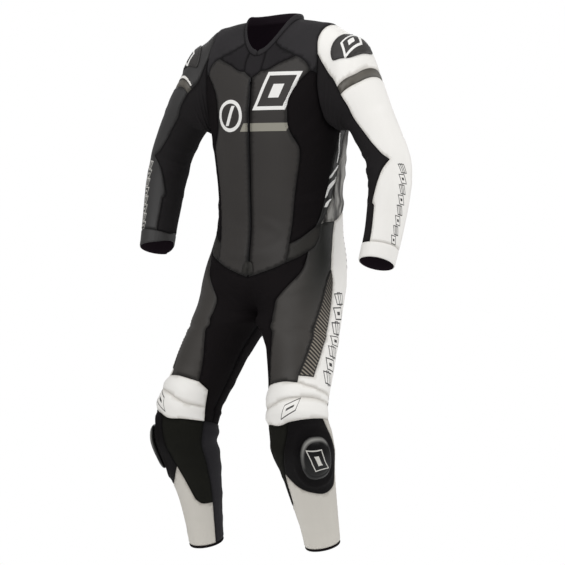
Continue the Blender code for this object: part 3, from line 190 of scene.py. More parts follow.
# Finer creases, a little different on each side: the sides they are on, from a place to a place,
# how far the middle sags down, width, height
creases = {
    "trunk": (
        (both, 0.22, 262, 0.40, 215, 10, 7, 1.5),
        (left, 0.26, 285, 0.45, 250, 8, 6, 1.2),
        (right, 0.24, 300, 0.43, 262, 6, 7, 1.3),
        (both, 0.30, 350, 0.50, 330, 8, 7, 1.2),
        (left, 0.20, 425, 0.45, 398, 9, 8, 1.4),
        (right, 0.18, 440, 0.42, 420, 8, 8, 1.6),
        (both, 0.24, 470, 0.42, 446, 6, 6, -1.2),
        (left, 0.03, 470, 0.17, 505, -5, 9, 0.9),
        (right, 0.03, 498, 0.17, 470, 6, 9, 1.0),
        (left, 0.02, 545, 0.15, 515, 5, 7, -0.9),
        (right, 0.02, 560, 0.14, 548, 4, 7, 0.8),
        (both, 0.60, 250, 0.90, 225, 10, 9, 1.5),
        (left, 0.62, 285, 0.94, 300, -8, 9, 1.4),
        (right, 0.64, 305, 0.92, 275, 8, 8, 1.3),
        (both, 0.70, 128, 0.86, 165, 6, 8, 1.3),
        (left, 0.66, 345, 0.97, 356, 6, 7, 1.7),
        (right, 0.68, 330, 0.97, 362, 5, 8, -1.5),
        (both, 0.72, 505, 0.96, 530, 8, 9, 1.6),
        (left, 0.70, 560, 0.92, 548, 9, 9, 1.3),
        (right, 0.71, 585, 0.90, 560, 8, 9, 1.5),
        (both, 0.42, 120, 0.56, 150, 5, 6, 0.8),
        (left, 0.04, 640, 0.14, 610, 6, 6, 1.2),
        (right, 0.03, 655, 0.15, 618, 8, 6, 1.3),
        (both, 0.01, 690, 0.12, 655, 10, 6, 1.4),
    ),
    "leg": (
        (both, 0.03, 700, 0.17, 668, 9, 6, 1.5),
        (left, 0.02, 755, 0.15, 716, 9, 7, 1.4),
        (right, 0.02, 742, 0.16, 705, 9, 7, 1.6),
        (both, 0.01, 800, 0.12, 775, 7, 8, 1.1),
        (left, 0.20, 648, 0.36, 612, 8, 9, 1.1),
        (right, 0.20, 662, 0.36, 632, 7, 9, 1.0),
        (both, 0.18, 866, 0.34, 872, 5, 7, 1.0),
        (left, 0.08, 915, 0.26, 924, 6, 4, -1.1),
        (right, 0.10, 918, 0.30, 914, 5, 4, -1.0),
        (both, 0.30, 938, 0.50, 946, 6, 5, -1.2),
        (left, 0.06, 952, 0.20, 962, 4, 4, 0.9),
        (right, 0.08, 960, 0.24, 966, 4, 4, 0.9),
        (both, 0.70, 800, 0.96, 778, 12, 9, 1.6),
        (left, 0.68, 862, 0.95, 840, 10, 8, 1.5),
        (right, 0.70, 852, 0.97, 872, 6, 8, 1.4),
        (both, 0.63, 920, 0.93, 905, 9, 6, 2.0),
        (left, 0.86, 935, 1.05, 958, 6, 6, 1.8),
        (right, 0.84, 945, 1.06, 930, 6, 6, 2.0),
        (both, 0.90, 985, 1.07, 972, 5, 6, 1.8),
        (left, 0.64, 1066, 0.96, 1082, 8, 8, 1.8),
        (right, 0.66, 1058, 0.98, 1072, 9, 8, 1.6),
        (both, 0.70, 1122, 0.97, 1108, 8, 9, 1.4),
        (left, 0.68, 1172, 0.93, 1160, 7, 8, 1.2),
        (right, 0.66, 1165, 0.98, 1186, 7, 8, 1.4),
        (both, 0.64, 1232, 0.97, 1246, 6, 8, 1.1),
        (left, 0.10, 1215, 0.34, 1232, 6, 9, 0.8),
        (right, 0.12, 1240, 0.36, 1226, 6, 9, 0.8),
        (both, 0.28, 1262, 0.52, 1270, 5, 8, 0.7),
        (left, 0.08, 1020, 0.24, 1034, 6, 8, 1.2),
        (right, 0.10, 1010, 0.25, 1030, 6, 9, 1.3),
        (both, 0.09, 1090, 0.20, 1104, 5, 8, 0.9),
    ),
    "arm": (
        (both, 0.24, 70, 0.44, 40, 8, 7, 2.2),
        (left, 0.27, 112, 0.52, 92, 9, 7, 2.6),
        (right, 0.26, 105, 0.50, 98, 8, 7, 2.4),
        (both, 0.30, 158, 0.56, 148, 9, 8, 2.2),
        (left, 0.32, 205, 0.55, 192, 8, 8, 1.7),
        (right, 0.34, 215, 0.58, 196, 8, 8, 1.9),
        (both, 0.30, 262, 0.52, 254, 6, 7, 1.2),
        (left, 0.24, 345, 0.50, 352, 6, 5, 1.8),
        (right, 0.26, 356, 0.52, 348, 6, 5, 1.8),
        (both, 0.26, 392, 0.56, 398, 5, 5, 1.7),
        (left, 0.30, 430, 0.58, 438, 6, 6, 1.5),
        (right, 0.30, 422, 0.56, 434, 6, 6, -1.4),
        (both, 0.36, 480, 0.62, 470, 6, 7, 1.1),
        (left, 0.02, 262, 0.18, 276, 6, 9, 0.9),
        (right, 0.02, 250, 0.20, 268, 6, 9, 1.0),
        (both, 0.86, 340, 1.02, 348, 5, 7, 0.9),
        (left, 0.88, 432, 1.06, 446, 6, 8, 1.0),
        (right, 0.90, 440, 1.08, 430, 6, 8, 1.0),
        (both, 0.66, 90, 0.84, 112, 7, 8, 1.8),
        (both, 0.58, 560, 0.80, 552, 6, 8, 1.0),
    ),
}


def namedRows(table, columns, place):
    # a table's columns at the given places, smooth and never beyond its rows
    rows = np.array(table, float)
    knots, values = rows[:, 0], rows[:, 1:]
    place = np.clip(place, knots[0], knots[-1])
    span = np.diff(knots)[:, None]
    rise = np.diff(values, axis=0) / span
    slope = np.zeros_like(values)
    sameWay = rise[:-1] * rise[1:] > 0
    safe = np.where(sameWay, rise[:-1] * rise[1:], 1.0)
    mean = safe * (span[:-1] + span[1:]) / (span[:-1] * rise[1:] + span[1:] * rise[:-1] + (~sameWay))
    slope[1:-1] = np.where(sameWay, mean, 0.0)
    slope[0], slope[-1] = rise[0], rise[-1]
    row = np.clip(np.searchsorted(knots, place, side="right") - 1, 0, len(knots) - 2)
    reach = span[row, 0]
    t = ((place - knots[row]) / reach)[..., None]
    reach = reach[..., None]
    value = ((2 * t**3 - 3 * t**2 + 1) * values[row] + (t**3 - 2 * t**2 + t) * reach * slope[row]
             + (3 * t**2 - 2 * t**3) * values[row + 1] + (t**3 - t**2) * reach * slope[row + 1])
    return {name: value[..., k] for k, name in enumerate(columns[1:])}


def power(value, exponent):
    return np.sign(value) * np.abs(value) ** exponent


def unit(vectors):
    return vectors / np.linalg.norm(vectors, axis=-1, keepdims=True)


def ramp(value, start, end):
    t = np.clip((value - start) / (end - start), 0, 1)
    return t * t * (3 - 2 * t)


def trunkForm(around, down):
    row = namedRows(trunk, trunkColumns, down)
    angle = math.pi * around
    forward, squareness = np.cos(angle), 2 / row["square"]
    x = row["half"] * power(np.sin(angle), squareness)
    y = row["middle"] - np.where(forward > 0, row["fore"], row["aft"]) * power(forward, squareness)
    end = np.where(forward > 0, row["front"], row["back"])
    z = row["side"] + (end - row["side"]) * forward**2
    return np.stack([x, y, z], -1)


def legForm(around, down):
    row = namedRows(leg, legColumns, down)
    angle = 2 * math.pi * around
    squareness = 2 / row["square"]
    across = -row["half"] * power(np.cos(angle), squareness)
    front = np.sin(angle)
    along = -np.where(front > 0, row["fore"], row["aft"]) * power(front, squareness)
    x = row["inner"] + row["half"] + across
    z = row["z"] + row["slope"] * along + row["splay"] * across + row["fork"] * ((1 + np.cos(angle)) / 2) ** 3
    return np.stack([x, row["y"] + along, z], -1)


def bodyForm(around, down):
    mix = namedRows(leg, legColumns, down)["mix"][..., None]
    return (1 - mix) * trunkForm(around, down) + mix * legForm(around, down)


def armholePlace(turn):
    # turn is 0 on the shoulder, 0.25 in front and 0.5 under the arm
    angle = 2 * math.pi * np.asarray(turn, float)
    around = armhole["around"] - armhole["wide"] * power(np.sin(angle), 2 / armhole["square"])
    down = armhole["down"] - armhole["high"] * power(np.cos(angle), 2 / armhole["square"])
    # the cap rides forward of the shoulder and its top sits a little low
    past = (np.asarray(turn, float) + 0.5) % 1 - 0.5
    around = around - armhole["bulge"] * np.exp(-((past - armhole["bulgeAt"]) / 0.06) ** 2)
    return around, down + armhole["dip"] * np.exp(-(past / 0.06) ** 2)


def armForm(around, down):
    row = namedRows(arm, armColumns, down)
    angle = 2 * math.pi * around
    lean, swing = np.radians(row["lean"]), np.radians(row["swing"])
    axis = np.stack([np.sin(lean), -np.sin(swing) * np.cos(lean), -np.cos(swing) * np.cos(lean)], -1)
    outward = np.stack([np.cos(lean), 0 * lean, np.sin(lean)], -1)
    front = unit(np.cross(axis, outward))
    front = np.where(front[..., 1:2] > 0, -front, front)
    outward = unit(np.cross(axis, front))
    outward = np.where(outward[..., 0:1] < 0, -outward, outward)
    centre = np.stack([row["x"], row["y"], row["z"]], -1)
    ring = (centre + (row["out"] * np.cos(angle))[..., None] * outward
            + (row["deep"] * np.sin(angle))[..., None] * front)
    start = np.array(arm[0][2:5], float)
    hole = leftBody(*armholePlace(around)) + centre - start
    mix = row["mix"][..., None]
    return (1 - mix) * hole + mix * ring


def awayFrom(around, down, fold, sag=0.0):
    # distance from a fold's line, and how far along it
    a0, d0, a1, d1 = fold
    run = np.array([(a1 - a0) * turnLength, d1 - d0])
    off = np.stack([(around - a0) * turnLength, down - d0 + 0 * around], -1)
    t = np.clip(off @ run / (run @ run), 0, 1)
    near = t[..., None] * run
    near[..., 1] += sag * 4 * t * (1 - t)
    return np.linalg.norm(off - near, axis=-1), t


def riseAt(table, tubes, wraps, around, down):
    lift = np.zeros(np.broadcast(around, down).shape)
    for tube, centre, middle, reach, heightReach, height in table:
        if tube in tubes:
            off = around - centre
            off = np.where(wraps, (off + 0.5) % 1 - 0.5, off)
            lift += height * np.exp(-(off / reach) ** 2 - ((down - middle) / heightReach) ** 2)
    return lift


def liftAt(tube, wraps, around, down, own):
    lift = riseAt(rises, tubeParts[tube], wraps, around, down)
    for part, a0, d0, a1, d1, width, height in folds:
        if part in tubeParts[tube]:
            away, t = awayFrom(around, down, (a0, d0, a1, d1))
            lift += height * np.sin(math.pi * (0.1 + 0.8 * t)) * np.exp(-(away / width) ** 2)
    return lift + riseAt(own, tubeParts[tube], wraps, around, down)


def centreFade(around, down):
    # folds die away towards the middle plane, above the legs
    past = np.clip(np.minimum(around, 1 - around) / 0.06, 0, 1)
    return np.where(down < crotch + 30, past**2 * (3 - 2 * past), 1)


def formNormal(form, around, down):
    across = form(around + probeAround, down) - form(around - probeAround, down)
    along = form(around, down + probeDown) - form(around, down - probeDown)
    return unit(np.cross(along, across))


def leftBody(around, down, own=()):
    lift = liftAt("body", down > crotch, around, down, own) * centreFade(around, down)
    return bodyForm(around, down) + lift[..., None] * formNormal(bodyForm, around, down)


def leftArm(around, down, own):
    lift = liftAt("arm", True, around, down, own) * ramp(down, 0, 60)
    return armForm(around, down) - lift[..., None] * formNormal(armForm, around, down)


creaseForm = {"reach": 3.2, "trough": 0.35, "taper": 0.7, "widest": 1.2, "narrowest": 0.8}


def creaseHeight(tube, side, around, down):
    # the finer creases of one side, each a soft ridge with a shallow trough beside it
    lift = np.zeros(np.broadcast(around, down).shape)
    rows = [row[1:] for part in tubeParts[tube] for row in creases[part] if row[0] in (both, side)]
    for a0, d0, a1, d1, sag, width, height in rows:
        reach = width * creaseForm["reach"] + abs(sag)
        if np.all((down < min(d0, d1) - reach) | (down > max(d0, d1) + reach)):
            continue
        for turn in (0, 1) if tube == "arm" else (0, -1) if a1 > 1 else (0,):
            away, t = awayFrom(around + turn, down, (a0, d0, a1, d1), sag)
            ends = np.sin(math.pi * np.clip(t, 0.02, 0.98)) ** creaseForm["taper"]
            wide = width * (creaseForm["narrowest"] + (creaseForm["widest"] - creaseForm["narrowest"]) * t)
            trough = creaseForm["trough"] * np.exp(-((away - 2 * wide) / wide) ** 2)
            lift += height * ends * (np.exp(-(away / wide) ** 2) - trough)
    if tube == "arm":
        return lift * (ramp(down, 4, 40) * ramp(down, sleeveEnd, cuffTop))
    return lift * (ramp(down, 4, 40) * ramp(down, legEnd, legHem - 25)) * centreFade(around, down)


sliderPlace = {"around": 0.430, "down": 1056, "reachAround": 0.084, "reachDown": 49, "square": 2.6}
relief = {"weltTop": (82, 96), "weltEnd": (610, 596), "weltAt": 5.0, "weltWide": 2.8, "weltHeight": 0.9,
          "valleyAt": 10.5, "valleyWide": 1.8, "valleyDeep": 0.7, "ringAt": 1.42, "ringWide": 0.12,
          "ringHeight": 3.2, "ringGap": 0.35, "grooveAt": 1.14, "grooveWide": 0.06, "grooveDeep": 0.6}


def sewnRelief(tube, around, down):
    # the welts that flank the zip, and the padded ring round the knee slider
    lift = np.zeros(np.broadcast(around, down).shape)
    if tube == "arm":
        return lift
    across = np.abs(around) * flatTurns["body"] / metres
    ends = ramp(down, *relief["weltTop"]) * ramp(down, *relief["weltEnd"])
    welt = np.exp(-((across - relief["weltAt"]) / relief["weltWide"]) ** 2)
    valley = np.exp(-((across - relief["valleyAt"]) / relief["valleyWide"]) ** 2)
    lift += ends * (relief["weltHeight"] * welt - relief["valleyDeep"] * valley)
    square = sliderPlace["square"]
    across = (around - sliderPlace["around"]) / sliderPlace["reachAround"]
    along = (down - sliderPlace["down"]) / sliderPlace["reachDown"]
    radius = (np.abs(across) ** square + np.abs(along) ** square) ** (1 / square)
    ring = np.exp(-((radius - relief["ringAt"]) / relief["ringWide"]) ** 2)
    groove = np.exp(-((radius - relief["grooveAt"]) / relief["grooveWide"]) ** 2)
    # the ring is in two arcs, parted at the front and at the back
    ends = 1 - np.exp(-(along / relief["ringGap"]) ** 2)
    return lift + relief["ringHeight"] * ring * ends - relief["grooveDeep"] * groove


def plainPoint(tube, side, around, down):
    own = [row[1:] for row in ownRises if row[0] == side]
    if tube == "arm":
        pose = namedRows(sleevePose[side], sleevePoseColumns, down)
        tilt = pose["tilt"] * np.sin(2 * math.pi * (around - 0.1))
        points = leftArm(around + pose["twist"], down + pose["slide"] - tilt, own)
    else:
        pose = namedRows(shinPose[side], shinPoseColumns, down)
        points = leftBody(around, down, own)
    move = np.stack([pose["x"], pose["y"], pose["z"]], -1)
    return (points + move) * np.array([side, 1, 1])


def clothPlace(tube, side, around, down):
    # the plain cloth and its outward direction at a place
    around, down = np.asarray(around, float), np.asarray(down, float)

    def at(around, down):
        return plainPoint(tube, side, around, down)

    here = at(around, down)
    across = at(around + probeAround, down) - at(around - probeAround, down)
    along = at(around, down + probeDown) - at(around, np.maximum(down - probeDown, 0))
    normal = unit(np.cross(along, across)) * side
    if tube == "arm":
        normal = -normal
        edge = down <= 0
        if np.any(edge):
            trunkNormal = clothPlace("body", side, *armholePlace(around))[1]
            normal = np.where(edge[..., None], unit(normal + trunkNormal), normal)
        return here, normal
    centre = (np.abs(here[..., 0]) < tiny) & (down < crotch)
    flat = along * np.array([0, 1, 1])
    facing = np.where(around < 0.5, -1.0, 1.0)
    upright = unit(np.stack([0 * down, -facing * flat[..., 2], facing * flat[..., 1]], -1) + 1e-9)
    normal = np.where(centre[..., None], upright, normal)
    fork = (np.abs(here[..., 0]) < tiny) & (down == crotch)
    return here, np.where(fork[..., None], np.array([0.0, 0.0, -1.0]), normal)


def creasedPlace(tube, side, around, down):
    around, down = np.asarray(around, float), np.asarray(down, float)
    here, normal = clothPlace(tube, side, around, down)
    lift = creaseHeight(tube, side, around, down) + sewnRelief(tube, around, down)
    return here + lift[..., None] * normal, normal, lift


# Where seams meet, as (around, down)
places = {
    "neckFront": (0, 0), "neckGarage": (0.105, 0), "neckYoke": (0.205, 0),
    "neckRear": (0.80, 0), "neckBack": (1, 0),
    "garageSide": (0.052, 60), "zipHead": (zipHalf, 77), "zipTop": (0, 79),
    "zipFoot": (zipHalf, 612), "zipEnd": (0, 613),
    "yokeCorner": (0.235, 90), "leatherTip": (0.275, 153),
    "hipFront": (0.193, 530), "hemFront": (0.175, 578), "hemThigh": (0.300, 550),
    "bandLow": (0.345, 538), "bandStrip": (0.355, 487), "stripEnd": (0.395, 480),
    "hipWhite": (0.505, 474), "hipRear": (0.66, 448),
    "lumbarTop": (1, 380), "lumbarLow": (1, 488),
    "ribTop": (0.457, 597), "ribOuter": (0.437, 878), "ribInner": (0.352, 877),
    "kneeTop": (0.347, 893), "thighKnee": (0.150, 888),
    "kneeInnerTop": (0.085, 900), "kneeInnerMid": (0.060, 938), "kneeInnerLow": (0.045, 972),
    "kneeOuterTop": (0.606, 914), "kneeOuterMid": (0.588, 930), "kneeOuterLow": (0.628, 962),
    "backingCorner": (0.502, 969),
    "shinTop": (0.300, 977), "shinFork": (0.228, 1088), "shinCorner": (0.175, 1172),
    "shinRear": (0.050, 1190), "shinFoot": (0.045, legHem), "shinFootRear": (0.63, legHem),
    "backingRear": (0.590, 1104), "crotchFront": (0, crotch), "crotchBack": (1, crotch),
    "inseamKnee": (0, 972), "inseamKneeBack": (1, 972), "seatSide": (0.668, 750),
    "sleeveBandFront": (0.254, 134), "sleeveBandRear": (-0.25, 140),
    "sleeveLowFront": (0.257, 160), "sleeveLowRear": (-0.252, 163),
    "sleeveTip": (0.161, 391), "cuffFront": (0.282, cuffTop), "cuffRear": (-0.31, cuffTop),
    "shinFootRound": (1.045, legHem), "cuffRearRound": (0.69, cuffTop),
}

# The armhole's own places, as turns of it
turns = {"capRear": -0.22, "capFront": 0.19, "tip": 0.25, "pit": 0.5, "strip": 0.545,
         "rear": 0.75, "capRearUnder": 0.78, "tipOver": 1.25}
places.update({"armhole" + name[0].upper() + name[1:]: armholePlace(turn) for name, turn in turns.items()})
places["armCapFront"] = (turns["capFront"], 0)
places["armCapRear"] = (turns["capRear"], 0)

# Seams: the place each starts from, the places it passes through and where it ends
seams = {
    "neckGarage": ("neckFront", "neckGarage"),
    "neckYoke": ("neckGarage", "neckYoke"),
    "neckShoulder": ("neckYoke", (0.35, 0), (0.5, 0), (0.65, 0), "neckRear"),
    "neckBack": ("neckRear", "neckBack"),
    "garageFlank": ("neckGarage", (0.078, 32), "garageSide"),
    "garageFoot": ("garageSide", "zipHead"),
    "zipCrown": ("zipHead", "zipTop"),
    "garageCentre": ("neckFront", "zipTop"),
    "yokeSide": ("neckYoke", (0.212, 38), "yokeCorner"),
    "yokeFront": ("garageSide", (0.09, 66), (0.15, 70), "yokeCorner"),
    "yokeOuter": ("yokeCorner", (0.253, 120), "leatherTip"),
    "tipArmhole": ("leatherTip", "armholeTip"),
    "leatherEdge": ("leatherTip", (0.225, 156), (0.182, 171), (0.163, 200), (0.168, 235), (0.192, 261),
                    (0.245, 296), (0.250, 312), (0.238, 375), (0.213, 476), "hipFront"),
    "leatherFoot": ("hipFront", "hemFront"),
    "zipSide": ("zipHead", (zipHalf, 200), (zipHalf, 400), "zipFoot"),
    "zipCentre": ("zipTop", (0, 200), (0, 400), "zipEnd"),
    "hemZip": ("zipEnd", "zipFoot"),
    "hemFront": ("zipFoot", (0.05, 603), (0.12, 590), "hemFront"),
    "hemBand": ("hemFront", (0.24, 565), "hemThigh"),
    "bandTop": ("hipFront", (0.255, 516), (0.31, 500), "bandStrip"),
    "bandEnd": ("bandStrip", "stripEnd"),
    "bandRear": ("stripEnd", (0.38, 512), "bandLow"),
    "bandFoot": ("bandLow", "hemThigh"),
    "stripFront": ("armholePit", (0.47, 323), (0.455, 367), (0.430, 411), (0.400, 453), "bandStrip"),
    "stripRear": ("armholeStrip", (0.537, 290), (0.512, 357), (0.475, 424), "stripEnd"),
    "hipTop": ("stripEnd", (0.445, 476), "hipWhite"),
    "hipTopRear": ("hipWhite", (0.60, 457), "hipRear"),
    "lumbarTop": ("hipRear", (0.72, 403), (0.82, 386), "lumbarTop"),
    "lumbarLow": ("hipRear", (0.75, 474), (0.87, 485), "lumbarLow"),
    "shoulderRear": ("neckRear", (0.765, 80), "armholeRear"),
    "whiteFront": ("hipWhite", (0.482, 528), (0.462, 565), "ribTop"),
    "ribRear": ("ribTop", (0.476, 632), (0.473, 733), (0.456, 830), "ribOuter"),
    "ribFront": ("ribTop", (0.427, 630), (0.415, 690), (0.405, 760), (0.385, 825), "ribInner"),
    "ribFoot": ("ribOuter", "ribInner"),
    "step": ("ribInner", "kneeTop"),
    "thighInner": ("hemThigh", (0.286, 575), (0.262, 601), (0.205, 637), (0.181, 669), (0.212, 706),
                   (0.236, 732), (0.234, 757), (0.203, 791), (0.175, 832), "thighKnee"),
    "kneeTopInner": ("kneeInnerTop", "thighKnee"),
    "kneeTopFront": ("thighKnee", (0.25, 888), "kneeTop"),
    "kneeTopOuter": ("kneeTop", (0.45, 903), "kneeOuterTop"),
    "kneeInnerUpper": ("kneeInnerTop", "kneeInnerMid"),
    "kneeInnerLower": ("kneeInnerMid", "kneeInnerLow"),
    "kneeOuterUpper": ("kneeOuterTop", "kneeOuterMid"),
    "kneeOuterLower": ("kneeOuterMid", (0.592, 944), "kneeOuterLow"),
    "kneeMid": ("kneeInnerMid", (0.16, 941), (0.31, 928), (0.43, 926), "kneeOuterMid"),
    "kneeLowInner": ("kneeInnerLow", (0.17, 977), (0.245, 982), "shinTop"),
    "kneeLowOuter": ("shinTop", (0.41, 972), "backingCorner"),
    "kneeLowStrip": ("backingCorner", (0.56, 967), "kneeOuterLow"),
    "whiteRear": ("hipRear", (0.664, 560), (0.668, 660), "seatSide"),
    "whiteRearLow": ("seatSide", (0.668, 800), (0.625, 870), "kneeOuterTop"),
    "seatFoot": ("seatSide", (0.80, 775), (0.93, 764), "crotchBack"),
    "groinCentre": ("zipEnd", "crotchFront"),
    "seatCentre": ("lumbarLow", "crotchBack"),
    "lumbarCentre": ("lumbarTop", "lumbarLow"),
    "backCentre": ("neckBack", (1, 120), (1, 250), "lumbarTop"),
    "inseam": ("crotchFront", (0, 800), (0, 880), "inseamKnee"),
    "calfTopInner": ("kneeInnerLow", "inseamKnee"),
    "calfTop": ("inseamKneeBack", (0.85, 980), (0.72, 984), "kneeOuterLow"),
    "backingFront": ("shinTop", (0.258, 1035), "shinFork"),
    "backingFoot": ("shinFork", (0.290, 1122), (0.358, 1140), (0.450, 1152), (0.545, 1142), "backingRear"),
    "backingOuter": ("backingCorner", (0.533, 990), (0.565, 1018), (0.588, 1055), "backingRear"),
    "shinFront": ("shinFork", (0.207, 1120), (0.19, 1150), "shinCorner"),
    "shinFabricFoot": ("shinCorner", (0.13, 1186), "shinRear"),
    "calfFront": ("kneeInnerLow", (0.04, 1080), "shinRear"),
    "calfFrontLow": ("shinRear", "shinFoot"),
    "shinOuter": ("kneeOuterLow", (0.632, 1000), (0.634, 1060), (0.624, 1150), "shinFootRear"),
    "hemShin": ("shinFoot", "shinFootRear"),
    "hemCalf": ("shinFootRear", "shinFootRound"),
}
sleeveSeams = {
    "capFront": ("armCapFront", (0.214, 28), (0.242, 78), "sleeveBandFront"),
    "capRear": ("armCapRear", (-0.235, 70), "sleeveBandRear"),
    "sleeveBandTop": ("sleeveBandRear", (-0.15, 158), (0, 162), (0.12, 160), "sleeveBandFront"),
    "sleeveBandFoot": ("sleeveLowRear", (-0.15, 179), (0, 183), (0.12, 182), "sleeveLowFront"),
    "sleeveBandFront": ("sleeveBandFront", "sleeveLowFront"),
    "sleeveBandRear": ("sleeveBandRear", "sleeveLowRear"),
    "sleeveFrontUpper": ("sleeveLowFront", (0.267, 209), (0.290, 270), (0.262, 330), (0.213, 372),
                         "sleeveTip"),
    "sleeveFrontLower": ("sleeveTip", (0.232, 415), (0.288, 452), (0.318, 488), (0.320, 495), (0.298, 500),
                         (0.294, 540), "cuffFront"),
    "sleeveRear": ("sleeveLowRear", (-0.26, 260), (-0.24, 386), (-0.28, 470), "cuffRear"),
    "cuffOuter": ("cuffRear", (-0.15, cuffTop), (0, cuffTop), (0.15, cuffTop), "cuffFront"),
    "cuffInner": ("cuffFront", (0.4, cuffTop - 2), (0.5, cuffTop - 12), (0.6, cuffTop - 8),
                  "cuffRearRound"),
}

# How panels are cut and sewn; lengths in millimetres, but zipTape and leastStrip in metres,
# and leastCover as a share of the panel's flat box
sewing = {"seamStep": 6.0, "grid": 7.5, "fineAcross": 0.55, "clearOfSeam": 0.55, "gap": 0.3,
          "dip": 0.9, "dipReach": 2.0, "roll": 0.45, "rollAt": 5.0, "rollReach": 3.2, "seamReach": 3.0,
          "zipTape": 0.012, "leastStrip": 0.0101, "leastCover": 0.301}


def stepsAlong(line):
    # how far along a line each of its points is
    return np.concatenate([[0], np.cumsum(np.linalg.norm(np.diff(line, axis=0), axis=1))])


def valuesAt(at, steps, values):
    return np.stack([np.interp(at, steps, column) for column in values.T], -1)


def seamCurve(control, count):
    control = np.array(control, float)
    knots = stepsAlong(control * (turnLength, 1))
    at = np.linspace(0, knots[-1], count + 1)
    row = namedRows(np.column_stack([knots, control]), ("knot", "around", "down"), at)
    line = np.stack([row["around"], row["down"]], -1)
    line[0], line[-1] = control[0], control[-1]
    return line


def lengthOf(points):
    return float(np.linalg.norm(np.diff(points, axis=0), axis=1).sum())


def seamPlaces(tube, path):
    control = [places.get(stop, stop) for stop in path]
    fine = seamCurve(control, 60)
    length = lengthOf(plainPoint(tube, left, *fine.T))
    return seamCurve(control, max(2, round(length / sewing["seamStep"])))


def armholeTurnList():
    marks = sorted({round(turn % 1, 6) for turn in turns.values()})
    marks.append(marks[0] + 1)
    found = []
    for start, end in zip(marks[:-1], marks[1:]):
        length = lengthOf(plainPoint("body", left, *armholePlace(np.linspace(start, end, 20))))
        count = max(1, round(length / sewing["seamStep"]))
        found += list(start + (end - start) * np.arange(count) / count)
    found = np.array(found)
    return np.sort(np.concatenate([found - 1, found, found + 1]))


seamLines = {name: seamPlaces("body", path) for name, path in seams.items()}
seamLines.update({name: seamPlaces("arm", path) for name, path in sleeveSeams.items()})
armholeTurns = armholeTurnList()


def loopOf(tube, parts):
    # the places round a panel, and the armhole turn of each that lies on the armhole
    found, marks = [], []
    for part in parts:
        if part.startswith("armhole"):
            first, last = (turns[word] for word in part.split(":")[1:])
            chosen = [t for t in armholeTurns if first - tiny <= t <= last + tiny]
            line = [(turn, 0.0) if tube == "arm" else tuple(float(v) for v in armholePlace(turn))
                    for turn in chosen]
            lineMarks = [round(turn % 1, 6) % 1 for turn in chosen]
        else:
            line = seamLines[part.strip("-+1")] + np.array([1.0 if part.endswith("+1") else 0.0, 0])
            line = [tuple(place) for place in (line[::-1] if part.startswith("-") else line)]
            lineMarks = [None] * len(line)
        if found and np.allclose(found[-1], line[0], atol=tiny):
            if marks[-1] is None:
                marks[-1] = lineMarks[0]
            line, lineMarks = line[1:], lineMarks[1:]
        found += line
        marks += lineMarks
    if np.allclose(found[-1], found[0], atol=tiny):
        if marks[0] is None:
            marks[0] = marks[-1]
        found.pop()
        marks.pop()
    return np.array(found), marks


def insideLoop(points, loop):
    result = np.zeros(len(points), bool)
    x, y = points[:, 0], points[:, 1]
    for (x0, y0), (x1, y1) in zip(loop, np.roll(loop, -1, axis=0)):
        crosses = (y0 > y) != (y1 > y)
        result ^= crosses & (x < x0 + (y - y0) * (x1 - x0) / (y1 - y0 + 1e-12))
    return result


def distanceToLine(points, starts, ends, step=400):
    # how far each point is from a broken line
    runs = ends - starts
    lengths = np.maximum((runs**2).sum(1), 1e-12)
    best = np.full(len(points), np.inf)
    for first in range(0, len(points), step):
        off = points[first:first + step, None, :] - starts[None]
        t = np.clip((off * runs).sum(2) / lengths, 0, 1)
        away = np.linalg.norm(off - t[..., None] * runs, axis=2)
        best[first:first + step] = away.min(axis=1)
    return best


def turnsLeft(points, triangle):
    a, b, c = (points[k] for k in triangle)
    return (b[0] - a[0]) * (c[1] - a[1]) > (b[1] - a[1]) * (c[0] - a[0])


def fillLoop(loop, across, down):
    # fills a loop with even triangles, their corners that far apart
    scale = np.array([turnLength / across, 1 / down])
    flat = loop * scale
    low, high = flat.min(axis=0), flat.max(axis=0)
    column, row = np.meshgrid(*(np.arange(math.floor(a), math.ceil(b) + 1) for a, b in zip(low, high)))
    grid = np.stack([column + 0.5 * (row % 2), row], -1).reshape(-1, 2).astype(float)
    grid = grid[insideLoop(grid, flat)]
    grid = grid[distanceToLine(grid, flat, np.roll(flat, -1, axis=0)) > sewing["clearOfSeam"]]
    points = np.concatenate([flat, grid])
    _, _, faces, origin, _, _ = delaunay_2d_cdt(
        [tuple(p) for p in points], [], [list(range(len(flat)))], 1, 1e-7)
    source = {new: old[0] for new, old in enumerate(origin) if old}
    triangles = [tuple(source[v] for v in f) for f in faces]
    return points / scale, [t if turnsLeft(points, t) else t[::-1] for t in triangles]


def facingOut(points, normals, triangles):
    a, b, c = np.array(triangles).T
    turn = np.cross(points[b] - points[a], points[c] - points[a])
    if np.sum(turn * (normals[a] + normals[b] + normals[c])) > 0:
        return [tuple(triangle) for triangle in triangles]
    return [tuple(triangle)[::-1] for triangle in triangles]


def openEdges(triangles):
    edges = {(t[k], t[(k + 1) % 3]) for t in triangles for k in range(3)}
    return [(a, b) for a, b in edges if (b, a) not in edges]


def drawnIn(points, normals, rim, distance, keepMiddle=False):
    # draws a panel's rim in from its seams, and says which way each of its points went
    after, before = dict(rim), {b: a for a, b in rim}
    moved = points.copy()
    inward = {}
    for here in after:
        sideways = []
        for start, end in ((before[here], here), (here, after[here])):
            edge = np.cross(normals[here], points[end] - points[start])
            sideways.append(edge / np.linalg.norm(edge))
        share = (sideways[0] + sideways[1]) / max(1 + sideways[0] @ sideways[1], 0.25)
        if keepMiddle and abs(points[here][0]) < tiny:
            share[0] = 0
        inward[here] = share
        moved[here] += distance * share
    return moved, inward


